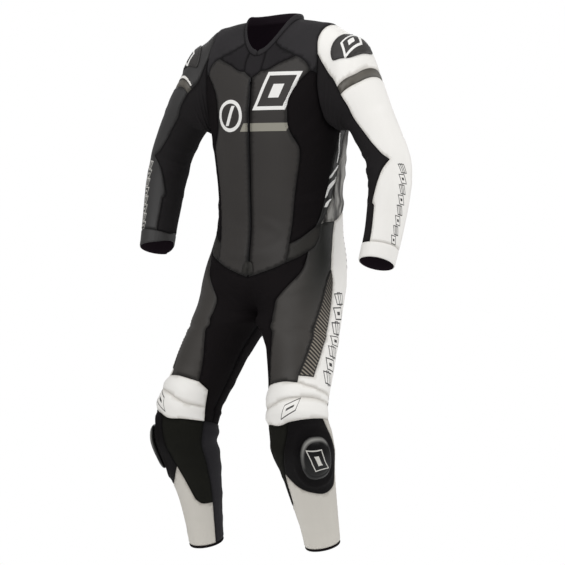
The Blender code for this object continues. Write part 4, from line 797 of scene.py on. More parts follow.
def rimChains(rim):
    after, chains = dict(rim), []
    while after:
        here = next(iter(after))
        chain = [here]
        while here in after:
            here = after.pop(here)
            chain.append(here)
        chains.append(chain)
    return chains


def sewRows(look, side, outer, triangles, normals, rim, inward):
    # the place and the direction of each stitch in the rows beside a panel's edge
    surface = BVHTree.FromPolygons([Vector(p) for p in outer], triangles)
    for chain in rimChains(rim):
        for row in look["rows"]:
            line = np.array([outer[k] + row * inward[k] for k in chain])
            steps = stepsAlong(line)
            number = int(steps[-1] / stitch["pitch"])
            at = (np.arange(number) + 0.5) * steps[-1] / max(number, 1)
            spots = valuesAt(at, steps, line)
            ahead = unit(valuesAt(at + 1, steps, line) - spots)
            for spot, along in zip(spots, ahead):
                near, facing, _, gap = surface.find_nearest(Vector(spot))
                if gap < stitch["reach"]:
                    facing = np.array(facing)
                    along = unit(along - (along @ facing) * facing)
                    stitches.setdefault((look["thread"], side), []).append(
                        (np.array(near), along, np.cross(facing, along), facing))


def sewnHeight(distance, look):
    # the cloth dips into the seam, stands over the seam allowance, and swells where it is padded
    dip = look.get("dip", sewing["dip"]) * np.exp(-(distance / sewing["dipReach"]) ** 2)
    roll = np.exp(-((distance - sewing["rollAt"]) / sewing["rollReach"]) ** 2)
    height = look.get("roll", sewing["roll"]) * roll
    if "puff" in look:
        height += look["puff"] * (1 - np.exp(-(distance / look["puffReach"]) ** 2))
    return height - dip


def cornersOf(mesh):
    found = np.empty(len(mesh.loops), np.int32)
    mesh.loops.foreach_get("vertex_index", found)
    return found


def meshObject(name, points, faces, materials, faceFinish=None, layers=None, flat=None):
    mesh = bpy.data.meshes.new(name)
    mesh.from_pydata([tuple(p) for p in points * metres], [], faces)
    mesh.polygons.foreach_set("use_smooth", [True] * len(mesh.polygons))
    for material in materials:
        mesh.materials.append(material)
    if faceFinish is not None:
        mesh.polygons.foreach_set("material_index", faceFinish)
    if flat is not None:
        mesh.uv_layers.new(name="cloth").data.foreach_set("uv", flat[cornersOf(mesh)].ravel())
    for layer, values in (layers or {}).items():
        mesh.attributes.new(layer, "FLOAT", "POINT").data.foreach_set("value", values.astype(np.float32))
    mesh.update()
    made = bpy.data.objects.new(name, mesh)
    bpy.context.scene.collection.objects.link(made)
    return made


def wall(name, outer, inner, triangles, rim, finishNames, flat, layers):
    # a closed wall: its outer face, its inner one in the last finish, and the rim that joins them
    count = len(outer)
    faces = list(triangles) + [(a + count, c + count, b + count) for a, b, c in triangles]
    faces += [(b, a, a + count, b + count) for a, b in rim]
    last = len(finishNames) - 1
    faceFinish = [0] * len(triangles) + [last] * len(triangles) + [0] * len(rim)
    layers = {layer: np.concatenate([values, values]) for layer, values in layers.items()}
    return meshObject(name, np.concatenate([outer, inner]), faces, [finish(word) for word in finishNames],
                      faceFinish, layers, np.concatenate([flat, flat]))


def onSuit(made, slot, node=None):
    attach(made, "root")
    if node:
        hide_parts(node)


def triangleArea(points, triangles):
    a, b, c = np.array(triangles).T
    return float(np.linalg.norm(np.cross(points[b] - points[a], points[c] - points[a]), axis=1).sum() / 2)


def cutSize(flat, points, triangles):
    # width, length and area of the flat cut that a panel was sewn from, in metres
    area = triangleArea(points, triangles) * metres**2
    spread = np.concatenate([flat, np.zeros((len(flat), 1))], axis=1)
    spread[:, 0] *= area / triangleArea(spread, triangles)
    middle = spread[:, :2] - spread[:, :2].mean(axis=0)
    sizes = np.ptp(middle @ np.linalg.eigh(middle.T @ middle)[1], axis=0)
    return float(sizes.min()), float(sizes.max()), area


def pieceName(node):
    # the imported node's name, in this script's own style
    words = node.split("_")
    return words[0] + "".join(word.capitalize() for word in words[1:]) + "Cloth"


def panelLayers(tube, side, found, marks):
    # points, normals and creases; along an armhole, body and sleeve share the same points
    points, normals, lift = creasedPlace(tube, side, *found.T)
    marked = [k for k, turn in enumerate(marks) if turn is not None]
    if marked:
        turn = np.array([marks[k] for k in marked])
        points[marked] = creasedPlace("body", side, *armholePlace(turn))[0]
        normals[marked] = clothPlace("arm", side, turn, np.zeros(len(turn)))[1]
    return points, normals, lift


def laidPanel(tube, side, found, marks, triangles, halves=False):
    # a panel's layers, triangles, rim and flat places; halves joins it to its mirrored twin
    wide = flatTurns[tube]
    if halves:
        mine, twin = (panelLayers(tube, s, found, marks) for s in (left, right))
        middle = np.abs(mine[0][:, 0]) < tiny
        mine[0][middle, 0] = 0
        count = len(found)
        index = np.where(middle, np.arange(count), count + np.cumsum(~middle) - 1)
        points, normals, lift = (np.concatenate([a, b[~middle]]) for a, b in zip(mine, twin))
        triangles = list(triangles) + [tuple(int(index[k]) for k in t[::-1]) for t in triangles]
        offset = np.array([round(float(found[middle, 0].mean())), 0])  # 1 for a panel on the back
        flat = np.concatenate([(found - offset) * (wide, metres),
                               (found[~middle] - offset) * (-wide, metres)])
    else:
        points, normals, lift = panelLayers(tube, side, found, marks)
        flat = found * (side * wide, metres)
    triangles = facingOut(points, normals, triangles)
    rim = openEdges(triangles)
    distance = distanceToLine(points, *points[np.array(rim).T])
    return points, normals, lift, triangles, rim, distance, flat


def clothPiece(name, side, tube, found, marks, triangles, look, halves=False):
    # a thin closed wall over the places of one panel
    points, normals, lift, triangles, rim, distance, flat = laidPanel(
        tube, side, found, marks, triangles, halves)
    base, inward = drawnIn(points, normals, rim, sewing["gap"] / 2, halves)
    height = sewnHeight(distance, look)
    if "accordion" in look:
        # rounded ribs that run across the panel and fade before its seams
        pitch, tall = look["accordion"]
        fold = np.abs(np.sin(math.pi * flat[:, 1] / metres / pitch)) ** 0.8
        height += tall * (fold - 0.4) * ramp(distance, 5.0, 14.0)
    outer = base + height[:, None] * normals
    inner = points - look["thick"] * normals  # the linings meet, so that no light comes through
    # the seam layer darkens the cloth by its seams, dirt and painted shade; the crease layer paints light and
    # shade over the creases
    made = wall(pieceName(name), outer, inner, triangles, rim, (look["finish"], "lining"), flat,
                {"seam": np.exp(-(distance / sewing["seamReach"]) ** 2), "crease": lift / 2})
    onSuit(made, look["slot"], name)
    width, length, area = cutSize(flat, outer, triangles)
    width = max(width, sewing["zipTape"])  # the zip's tapes go on under the leather
    # a long bent panel covers little of the rectangle it is cut from
    area = max(area, sewing["leastCover"] * width * length)
    if "rows" in look:
        sewRows(look, 0 if halves else side, outer, triangles, normals, rim, inward)


stitches = {}
stitch = {"pitch": 4.4, "long": 3.3, "wide": 0.8, "high": 0.5, "proud": 0.15, "reach": 2.5}


class Shade:
    # one shader value; the operators add its Math nodes
    def __init__(self, tree, socket=None):
        self.tree, self.socket = tree, socket

    def node(self, kind, settings=None, inputs=None, output=0):
        made = self.tree.nodes.new(kind)
        for key, value in (settings or {}).items():
            if key == "stops":
                elements = made.color_ramp.elements
                while len(elements) < len(value):
                    elements.new(0.5)
                for element, (place, colour) in zip(elements, value):
                    element.position, element.color = place, (*colour, 1)
            else:
                setattr(made, key, value)
        for key, value in (inputs or {}).items():
            if isinstance(value, Shade):
                self.tree.links.new(value.socket, made.inputs[key])
            else:
                made.inputs[key].default_value = value
        return Shade(self.tree, made.outputs[output])

    def maths(self, operation, *others):
        return self.node("ShaderNodeMath", {"operation": operation},
                         {k: value for k, value in enumerate((self,) + others)})

    def __add__(self, other):
        return self.maths("ADD", other)

    __radd__ = __add__

    def __mul__(self, other):
        return self.maths("MULTIPLY", other)

    __rmul__ = __mul__

    def __sub__(self, other):
        return self.maths("SUBTRACT", other)

    def __rsub__(self, other):
        return (self * -1.0) + other

    def __truediv__(self, other):
        return self.maths("DIVIDE", other)

    def __lt__(self, other):
        return self.maths("LESS_THAN", other)

    def __gt__(self, other):
        return self.maths("GREATER_THAN", other)

    def __abs__(self):
        return self.maths("ABSOLUTE")

    def mixed(self, low, high):
        # this value, from 0 to 1, between two colours
        return self.node("ShaderNodeMix", {"data_type": "RGBA"}, {0: self, 6: low, 7: high}, 2)


def rgb(red, green, blue):
    # a colour given as seen on screen, 0 to 255, as a linear one
    parts = [c / 255 for c in (red, green, blue)]
    return (*[c / 12.92 if c <= 0.04045 else ((c + 0.055) / 1.055) ** 2.4 for c in parts], 1.0)


def newFinish(name, settings):
    material = bpy.data.materials.new(name)
    material.use_nodes = True
    shader = material.node_tree.nodes["Principled BSDF"]
    for socket, value in settings.items():
        shader.inputs[socket].default_value = value
    return material, Shade(material.node_tree), shader


def join(value, socket):
    value.tree.links.new(value.socket, socket)


def objectPlace(shade):
    return shade.node("ShaderNodeTexCoord", output="Object")


def noise(place, scale, detail):
    return place.node("ShaderNodeTexNoise", None, {"Vector": place, "Scale": scale, "Detail": detail})


def stretched(place, scale, turn=0.0):
    return place.node("ShaderNodeMapping", None,
                      {"Vector": place, "Rotation": (0.0, turn, 0.0), "Scale": scale})


def painted(shade, layer):
    # a value that the mesh carries at each of its points
    return shade.node("ShaderNodeAttribute", {"attribute_name": layer}, output="Fac")


def smoothly(value, low, high, start=0.0, end=1.0):
    return value.node("ShaderNodeMapRange", {"interpolation_type": "SMOOTHSTEP"},
                      {"Value": value, "From Min": low, "From Max": high, "To Min": start, "To Max": end})


def limited(value, low=0.0, high=1.0):
    return value.maths("MAXIMUM", low).maths("MINIMUM", high)


def bumped(height, distance, strength):
    return height.node("ShaderNodeBump", None, {"Height": height, "Distance": distance, "Strength": strength})


def clothUv(shade):
    # metres across and down the flat cloth
    flat = shade.node("ShaderNodeUVMap", {"uv_map": "cloth"})
    parts = flat.node("ShaderNodeSeparateXYZ", None, {0: flat})
    return parts, Shade(parts.tree, parts.socket.node.outputs[1])


def slantBar(u, v, centre, size, slant=0.0, turn=0.0):
    # how far outside a slanted bar a place is; below 0 it is inside
    across, along = u - centre[0], v - centre[1]
    if turn:
        c, s = math.cos(turn), math.sin(turn)
        across, along = across * c + along * s, along * c - across * s
    return (abs(across - along * slant) - size[0] / 2).maths("MAXIMUM", abs(along) - size[1] / 2)


# What the finishes of one kind share unless they say otherwise
kinds = {
    "leather": {"rough": 0.45, "gloss": 0.3, "grain": 1.5, "relief": 0.35, "patchy": 0.2},
    "ribs": {"rough": 0.5, "gloss": 0.3, "grain": 1.3, "relief": 0.3, "patchy": 0.1},
    "strokes": {"rough": 0.4, "gloss": 0.35, "grain": 1.4, "relief": 0.3, "patchy": 0.2},
    "knit": {"rough": 0.8, "gloss": 0.05, "pitch": 1.3, "relief": 0.5},
    "weave": {"rough": 0.85, "gloss": 0.05, "pitch": 1.6, "relief": 0.5},
    "mesh": {"rough": 0.9, "gloss": 0.05, "pitch": 3.0, "relief": 0.5},
    "plastic": {"rough": 0.24, "gloss": 0.13, "relief": 0.3},
    "thread": {"rough": 0.6, "gloss": 0.2, "relief": 0.5},
}


def dyed(kind, colour, deep, **own):
    # a finish's colour, the deeper one of its seams (dirt and painted shade) and hollows (painted shade), and
    # what else is its own
    return {"kind": kind, "colour": rgb(*colour), "deep": rgb(*deep), **kinds[kind], **own}


finishLooks = {
    "blackLeather": dyed("leather", (50, 47, 45), (18, 17, 17), gloss=0.28),
    "thighLeather": dyed("leather", (56, 53, 50), (24, 22, 21)),
    # painted light: a lighter copy of the black leather for the highlights on the right sleeve, its cap and
    # its cuff
    "sleeveLeather": dyed("leather", (54, 53, 53), (20, 19, 19)),
    "hipLeather": dyed("leather", (40, 38, 35), (17, 16, 15), gloss=0.22, patchy=0.22),
    "whiteLeather": dyed("leather", (239, 237, 233), (212, 208, 201), rough=0.4, gloss=0.35, grain=1.6,
                         relief=0.25, patchy=0.05),
    "shinLeather": dyed("leather", (193, 189, 181), (158, 153, 145), rough=0.42, grain=1.6, relief=0.25,
                        patchy=0.06),
    "greyLeather": dyed("leather", (92, 88, 81), (62, 59, 54), rough=0.36, gloss=0.4, grain=1.6, relief=0.2,
                        patchy=0.12),
    "shieldLeather": dyed("leather", (56, 54, 53), (14, 14, 14), rough=0.38, grain=1.2, relief=0.3,
                          patchy=0.1),
    "lumbarLeather": dyed("leather", (32, 30, 30), (11, 10, 10), rough=0.5, gloss=0.22, grain=1.3, relief=0.3,
                          patchy=0.15),
    "stretchBlack": dyed("knit", (27, 24, 25), (9, 8, 9), rough=0.85, gloss=0.04),
    "sleeveStretch": dyed("knit", (41, 39, 40), (13, 12, 13)),
    "calfStretch": dyed("knit", (36, 34, 38), (12, 11, 14), rough=0.65, gloss=0.13, pitch=1.5),
    "yokeCloth": dyed("knit", (52, 50, 52), (19, 18, 20), rough=0.7, gloss=0.14, pitch=1.2, relief=0.4),
    "yokeDark": dyed("knit", (45, 43, 45), (15, 14, 15), gloss=0.08, pitch=1.2, relief=0.4),
    "shinCloth": dyed("weave", (31, 31, 27), (10, 10, 9)),
    "backingCloth": dyed("weave", (19, 17, 18), (6, 5, 6), rough=0.7, gloss=0.07, pitch=1.1, relief=0.7),
    # the ribs' colour is a painted highlight on their crests; deep is the dark leather between them
    "ribCloth": dyed("ribs", (140, 132, 120), (34, 32, 30)),
    "flankPrint": dyed("strokes", (30, 29, 28), (13, 12, 12)),
    "sliderPlastic": dyed("plastic", (13, 13, 13), (6, 6, 6)),
    "zipMetal": dyed("plastic", (40, 40, 42), (18, 18, 19), rough=0.35, gloss=0.5, metal=0.7, relief=0.2),
    "darkThread": dyed("thread", (30, 29, 29), (12, 11, 11)),
    "whiteThread": dyed("thread", (232, 229, 223), (170, 164, 154), gloss=0.3),
    # the lining glows faintly, painted light so that the shaded inside of the neck is not black
    "lining": dyed("mesh", (30, 25, 29), (12, 10, 12), lit=(0.0045, 0.0030, 0.0042, 1)),
}
finishes = {}


def leatherBase(shade, look):
    # grain, soft patches, seams darker with dirt and painted shade, and painted light and shade on the
    # creases, ridges lighter and troughs darker: the colour, the roughness and the bump
    place = objectPlace(shade)
    pebbles = shade.node("ShaderNodeTexVoronoi", {"feature": "DISTANCE_TO_EDGE"},
                         {"Vector": place, "Scale": 1000 / look["grain"]})
    pores, cloud = noise(place, 420.0, 3.0), noise(place, 11.0, 4.0)
    crease = painted(shade, "crease")
    grain = pebbles.node("ShaderNodeMapRange", None, {"Value": pebbles, "From Max": 0.35})
    tone = (1.0 - painted(shade, "seam") * 0.75 + (cloud - 0.5) * (2 * look["patchy"]) + crease * 0.10
            + (grain - 0.7) * 0.12)
    rough = (cloud - 0.5) * 0.25 + (look["rough"] + 0.1) - grain * 0.1 - crease * 0.05
    bump = bumped(grain * look["relief"] + pores * 0.25, 0.0004, 0.6)
    return limited(tone, high=1.15).mixed(look["deep"], look["colour"]), rough, bump


def ribBase(shade, look):
    # leather ribs, with a painted highlight along their crests that is fainter towards the top of the panel
    _, rough, bump = leatherBase(shade, look)
    highlightFade = smoothly(clothUv(shade)[1], 0.60, 0.75, 0.32)
    crestHighlight = limited((painted(shade, "rib") - 0.42) * 2.6) * highlightFade
    return crestHighlight.mixed(look["deep"], look["colour"]), rough, bump


def strokeBase(shade, look):
    # leather with short slanted strokes in pale print, and a line down each edge
    colour, rough, bump = leatherBase(shade, look)
    u, v = clothUv(shade)
    jitter = noise(objectPlace(shade), 24.0, 1.0)
    run = (v * 36.0 + abs(u) * 34.0 + jitter * 1.4).maths("FRACT")
    stroke = (run < 0.36) * (jitter > 0.42) * (v < 0.44) * (v > 0.335)
    stroke = stroke + (abs(abs(u) - 0.268) < 0.0016) * (v < 0.33) * (v > 0.265)
    return stroke.mixed(colour, rgb(250, 249, 246)), rough, bump


def plasticBase(shade, look):
    # moulded plastic: faint mottling, fine scuffs that run down the knee
    place = objectPlace(shade)
    scuffs, mottle = noise(stretched(place, (900.0, 900.0, 45.0)), 1.0, 2.0), noise(place, 60.0, 3.0)
    colour = (mottle * 0.7 + scuffs * 0.5).mixed(look["deep"], look["colour"])
    rough = (scuffs - 0.5) * 0.3 + (mottle - 0.5) * 0.2 + look["rough"]
    return colour, rough, bumped(scuffs * look["relief"], 0.0002, 0.4)


def threadBase(shade, look):
    # twisted strands
    place = objectPlace(shade)
    strands, cloud = noise(place, 1500.0, 2.0), noise(place, 40.0, 2.0)
    colour = (strands * 0.9 + cloud * 0.5).mixed(look["deep"], look["colour"])
    return colour, (cloud - 0.5) * 0.2 + look["rough"], bumped(strands * look["relief"], 0.0002, 0.5)


def clothBase(shade, look):
    # knit, woven or open mesh cloth
    u, v = clothUv(shade)
    cloud = noise(objectPlace(shade), 14.0, 3.0)
    turn = 2 * math.pi / (look["pitch"] * metres)
    across = (u * turn).maths("SINE")
    if look["kind"] == "knit":
        yarn = across * 0.5 + (v * (turn / 1.4) + across * 0.8).maths("SINE") * 0.35
    elif look["kind"] == "weave":
        yarn = across * (v * turn).maths("SINE")
    else:
        yarn = (across + (v * turn).maths("SINE") > 0.9) * -1.2 + 0.4
    # the seams darker with dirt and painted shade, and painted light and shade on the creases, ridges lighter
    # and troughs darker
    tone = (yarn * 0.22 + 0.72 + (cloud - 0.5) * 0.5 - painted(shade, "seam") * 0.5
            + painted(shade, "crease") * 0.1)
    colour = limited(tone, high=1.2).mixed(look["deep"], look["colour"])
    return colour, (cloud - 0.5) * 0.2 + look["rough"], bumped(yarn * look["relief"], 0.0004, 0.7)


bases = {"leather": leatherBase, "ribs": ribBase, "strokes": strokeBase, "knit": clothBase,
         "weave": clothBase, "mesh": clothBase, "plastic": plasticBase, "thread": threadBase}


def makeFinish(name, look, printsAndLight=None):
    material, shade, shader = newFinish(name, {
        "Specular IOR Level": look["gloss"], "Metallic": look.get("metal", 0.0),
        "Emission Color": look.get("lit", (0, 0, 0, 1)), "Emission Strength": 1.0 if "lit" in look else 0.0})
    colour, rough, bump = bases[look["kind"]](shade, look)
    for shape, tint, sheen in (printsAndLight(shade) if printsAndLight else ()):
        colour = shape.mixed(colour, tint)
        rough = rough * (1.0 - shape) + shape * sheen
    join(colour, shader.inputs["Base Color"])
    join(rough, shader.inputs["Roughness"])
    join(bump, shader.inputs["Normal"])
    return material


# Generic marks: slanted frames, bars and a ring. The chest's are in metres across and up the front,
# the others in metres across and down the cloth
chestMarks = {
    "line": 0.0046,
    "band": {"centre": (0.0445, -0.236), "size": (0.134, 0.0205), "slant": 0.55},
    "frame": {"centre": (0.078, -0.146), "size": (0.084, 0.086), "slant": 0.42},
    "block": {"centre": (0.078, -0.146), "size": (0.030, 0.034), "slant": 0.42},
    "ring": {"centre": (-0.062, -0.206), "radius": 0.036},
    "bar": {"centre": (-0.062, -0.206), "size": (0.011, 0.050), "slant": 0.42},
}
markWhite, markBlack = rgb(236, 235, 232), rgb(26, 24, 24)


def chestPrint(shade):
    place = objectPlace(shade)
    x = place.node("ShaderNodeSeparateXYZ", None, {0: place})
    z = Shade(x.tree, x.socket.node.outputs[2])
    line, ring = chestMarks["line"], chestMarks["ring"]
    frame, block, bar, band = (slantBar(x, z, **chestMarks[mark])
                               for mark in ("frame", "block", "bar", "band"))
    across, up = x - ring["centre"][0], z - ring["centre"][1]
    circle = (across * across + up * up).maths("SQRT") - ring["radius"]
    marks = (abs(frame) < line) + (block < 0.0) + (abs(circle) < line) + (bar < 0.0)
    return [(band < 0.0, rgb(146, 143, 132), 0.3), (marks.maths("MINIMUM", 1.0), markWhite, 0.35)]


def columnPrint(centre, pitch, count, size, slant, line, tint):
    # a row of outlined slanted boxes down a sleeve or thigh, every other one with a bar through it
    def shapes(shade):
        u, v = clothUv(shade)
        step = (v - (centre[1] - pitch * count / 2)) / pitch
        cell = (step.maths("FRACT") - 0.5) * pitch
        inside = (step > 0.0) * (step < float(count))
        odd = (step * 0.5).maths("FRACT") < 0.5
        edge = slantBar(u, cell, (centre[0], 0.0), size, slant)
        bar = abs(slantBar(u, cell, (centre[0], 0.0), (size[0] * 0.30, size[1] * 1.3), slant)) < line
        dot = slantBar(u, cell, (centre[0], 0.0), (size[0] * 0.42, size[1] * 0.30), slant) < 0.0
        drawn = ((abs(edge) < line) + bar * odd + dot * (1.0 - odd)).maths("MINIMUM", 1.0) * inside
        return [(drawn, tint, 0.4)]
    return shapes


def framePrint(centre, frame, bar, slant, line, tint, sheen, turn=0.0):
    # a slanted frame with a bar in it, the same on both sides
    def shapes(shade):
        u, v = clothUv(shade)
        edge = abs(slantBar(abs(u), v, centre, frame, slant, turn)) < line
        inside = slantBar(abs(u), v, centre, bar, slant, turn) < 0.0
        return [((edge + inside).maths("MINIMUM", 1.0), tint, sheen)]
    return shapes


def sliderPrint(shade):
    u, v = clothUv(shade)
    edge = abs(slantBar(u, v, (0.0, 0.0), (0.034, 0.044), 0.35)) < 0.0012
    bar = slantBar(u, v, (0.0, 0.0), (0.010, 0.022), 0.35) < 0.0
    # a painted highlight: the rim is painted pale above, where the light catches its bevel
    radius = ((u / 0.042) * (u / 0.042) + (v / 0.049) * (v / 0.049)).maths("SQRT")
    rim = (1.0 - abs(radius - 0.88) / 0.12).maths("MAXIMUM", 0.0)
    paintedHighlight = rim * limited((u * -0.45 - v * 0.9) / 0.040 - 0.15)
    return [(paintedHighlight, rgb(150, 149, 145), 0.3), ((edge + bar).maths("MINIMUM", 1.0), rgb(200, 198, 192), 0.4)]


def sidePrint(shade):
    # worn silver streaks where the back turns on to the flank
    u, v = clothUv(shade)
    streak = noise(stretched(objectPlace(shade), (60.0, 60.0, 9.0), 0.5), 1.0, 3.0)
    amount = smoothly(streak, 0.40, 0.62) * smoothly(abs(u), 0.145, 0.205) * smoothly(v, 0.24, 0.33)
    return [(amount, rgb(158, 156, 151), 0.3)]


def thighPaintedShade(shade):
    # painted shade: the leather is painted darker round the hip, where it bends away
    u, v = clothUv(shade)
    return [(smoothly(abs(u), 0.120, 0.212) * smoothly(v, 0.57, 0.74, 1.0, 0.0) * 0.92, rgb(20, 21, 18), 0.5)]


# Prints over finishes, and in the same way the painted shade on the thigh and the painted highlight on the
# knee slider
printsAndPaintedLight = {
    "backLeather": ("blackLeather", sidePrint),
    "thighFront": ("thighLeather", thighPaintedShade),
    "kneeWhite": ("whiteLeather", framePrint((0.168, 0.949), (0.044, 0.020), (0.022, 0.004), -1.1, 0.0010,
                                             rgb(48, 46, 44), 0.4, -0.35)),
    "shieldPrinted": ("shieldLeather", framePrint((0.024, 0.100), (0.040, 0.034), (0.014, 0.013), 0.5, 0.0026,
                                                  markWhite, 0.35)),
    "sliderPrinted": ("sliderPlastic", sliderPrint),
    "frontLeather": ("blackLeather", chestPrint),
    "sleeveWhite": ("whiteLeather", columnPrint((0.0265, 0.496), 0.0235, 8, (0.0155, 0.0195), -0.4, 0.0010,
                                                markBlack)),
    "sleeveBlack": ("sleeveLeather", columnPrint((-0.040, 0.500), 0.0235, 8, (0.022, 0.0195), 0.4, 0.0011,
                                                 rgb(206, 204, 198))),
    "thighWhite": ("whiteLeather", columnPrint((0.284, 0.770), 0.034, 7, (0.034, 0.026), 0.5, 0.0015,
                                               markBlack)),
}


def finish(name):
    if name not in finishes:
        base, printsAndLight = printsAndPaintedLight.get(name, (name, None))
        finishes[name] = makeFinish(name, finishLooks[base], printsAndLight)
    return finishes[name]


# What panels of one cloth share
oneRow, twoRows = (2.6,), (2.6, 5.6)
black = {"thick": 2.0, "slot": "black_leather", "rows": twoRows, "thread": "darkThread"}
white = {"thick": 2.0, "slot": "white_leather", "rows": twoRows, "thread": "whiteThread",
         "finish": "whiteLeather"}
stretch = {"thick": 1.5, "slot": "stretch_black", "finish": "stretchBlack"}
yoke = {"thick": 2.0, "slot": "yoke_cloth", "finish": "yokeDark"}
rightBlack = {"rightFinish": "sleeveLeather", "rightSlot": "black_leather", "rightThread": "darkThread"}

# Panels of both sides. A minus sign runs a seam backwards, "+1" reads it one turn further round,
# and "armhole:a:b" is the armhole between two of its turns.
panels = {
    "chest_yoke": {**yoke, "thick": 1.5, "seams": "neckYoke yokeSide -yokeFront -garageFlank"},
    "shoulder_panel": {**yoke, "finish": "yokeCloth", "rows": oneRow, "thread": "darkThread",
                       "seams": "neckShoulder shoulderRear armhole:rear:tipOver -tipArmhole -yokeOuter "
                                "-yokeSide"},
    "front_panel": {**black, "finish": "frontLeather",
                    "seams": "-garageFoot yokeFront yokeOuter leatherEdge leatherFoot -hemFront -zipSide"},
    "side_stretch": {**stretch, "seams": "tipArmhole armhole:tip:pit stripFront -bandTop -leatherEdge"},
    "flank_strip": {**black, "finish": "flankPrint", "slot": "silver_print", "rows": oneRow,
                    "seams": "armhole:pit:strip stripRear -bandEnd -stripFront"},
    "hip_band": {**black, "finish": "hipLeather",
                 "seams": "bandTop bandEnd bandRear bandFoot -hemBand -leatherFoot"},
    "thigh_front": {**black, "finish": "thighFront",
                    "seams": "-bandFoot -bandRear hipTop whiteFront ribFront step -kneeTopFront -thighInner"},
    "outer_thigh": {**white, "finish": "thighWhite",
                    "seams": "hipTopRear whiteRear whiteRearLow -kneeTopOuter -step -ribFoot -ribRear "
                             "-whiteFront"},
    "thigh_back": {**stretch,
                   "seams": "-seatFoot whiteRearLow kneeOuterUpper kneeOuterLower -calfTop -inseam+1"},
    "knee_upper": {**white, "rows": oneRow, "puff": 2.4, "puffReach": 9.0,
                   "seams": "kneeTopInner kneeTopFront kneeTopOuter kneeOuterUpper -kneeMid -kneeInnerUpper"},
    "knee_lower": {**white, "finish": "kneeWhite", "rows": oneRow, "puff": 2.8, "puffReach": 10.0,
                   "seams": "kneeMid kneeOuterLower -kneeLowStrip -kneeLowOuter -kneeLowInner "
                            "-kneeInnerLower"},
    "shin_fabric": {"thick": 1.5, "finish": "shinCloth", "slot": "shin_cloth",
                    "seams": "kneeLowInner backingFront shinFront shinFabricFoot -calfFront"},
    "slider_backing": {**black, "finish": "backingCloth", "rows": oneRow, "gridDown": 4.0,
                       "seams": "kneeLowOuter backingOuter -backingFoot -backingFront"},
    "shin": {**white, "finish": "shinLeather",
             "seams": "backingFoot -backingOuter kneeLowStrip shinOuter -hemShin -calfFrontLow "
                      "-shinFabricFoot -shinFront"},
    "calf": {**stretch, "finish": "calfStretch",
             "seams": "-calfTop -calfTopInner+1 calfFront+1 calfFrontLow+1 -hemCalf -shinOuter"},
    "shoulder_cap": {**white, **rightBlack, "tube": "arm",
                     "seams": "armhole:capRear:capFront capFront -sleeveBandTop -capRear"},
    "sleeve_band": {"tube": "arm", "thick": 2.0, "finish": "greyLeather", "slot": "grey_leather",
                    "seams": "sleeveBandTop sleeveBandFront -sleeveBandFoot -sleeveBandRear"},
    "sleeve": {**white, **rightBlack, "tube": "arm", "finish": "sleeveWhite", "rightFinish": "sleeveBlack",
               "seams": "sleeveBandFoot sleeveFrontUpper sleeveFrontLower -cuffOuter -sleeveRear"},
    "inner_sleeve": {**stretch, "tube": "arm", "finish": "sleeveStretch",
                     "seams": "armhole:capFront:capRearUnder capRear+1 sleeveBandRear+1 sleeveRear+1 "
                              "-cuffInner -sleeveFrontLower -sleeveFrontUpper -sleeveBandFront -capFront"},
}

# Panels that run across the middle, given as their left half
centrePanels = {
    "garage": {**yoke, "seams": "neckGarage garageFlank garageFoot zipCrown -garageCentre"},
    "zip": {"thick": 2.0, "finish": "backingCloth", "slot": "zip", "roll": 0.0, "dip": 1.2,
            "seams": "-zipCrown zipSide -hemZip -zipCentre"},
    "groin": {**stretch,
              "seams": "hemZip hemFront hemBand thighInner -kneeTopInner kneeInnerUpper kneeInnerLower "
                       "calfTopInner -inseam -groinCentre"},
    "back_panel": {**black, "finish": "backLeather",
                   "seams": "neckBack backCentre -lumbarTop -hipTopRear -hipTop -stripRear "
                            "armhole:strip:rear -shoulderRear"},
    "lumbar": {**stretch, "finish": "lumbarLeather", "accordion": (11.0, 2.4), "gridDown": 2.2,
               "seams": "lumbarTop lumbarCentre -lumbarLow"},
    "seat": {**black, "finish": "thighLeather", "seams": "lumbarLow seatCentre -seatFoot -whiteRear"},
}


def sided(look, side):
    # the right side's own finish, slot and thread, where it has them
    own = {key[5].lower() + key[6:]: value for key, value in look.items() if key.startswith("right")}
    return {**look, **own} if side == right else look


def filled(look, tube, across):
    # the places, armhole turns and triangles of a panel
    loop, marks = loopOf(tube, look["seams"].split())
    found, triangles = fillLoop(loop, across, look.get("gridDown", sewing["grid"]))
    return found, marks + [None] * (len(found) - len(loop)), triangles


def makePanels():
    for kind, look in panels.items():
        tube = look.get("tube", "body")
        cut = filled(look, tube, sewing["grid"] * (sewing["fineAcross"] if "gridDown" in look else 1))
        for side, sideName in sideNames.items():
            clothPiece(kind + "_" + sideName, side, tube, *cut, sided(look, side))
    for kind, look in centrePanels.items():
        clothPiece(kind, left, "body", *filled(look, "body", sewing["grid"]), look, halves=True)


makePanels()
print("panels made")


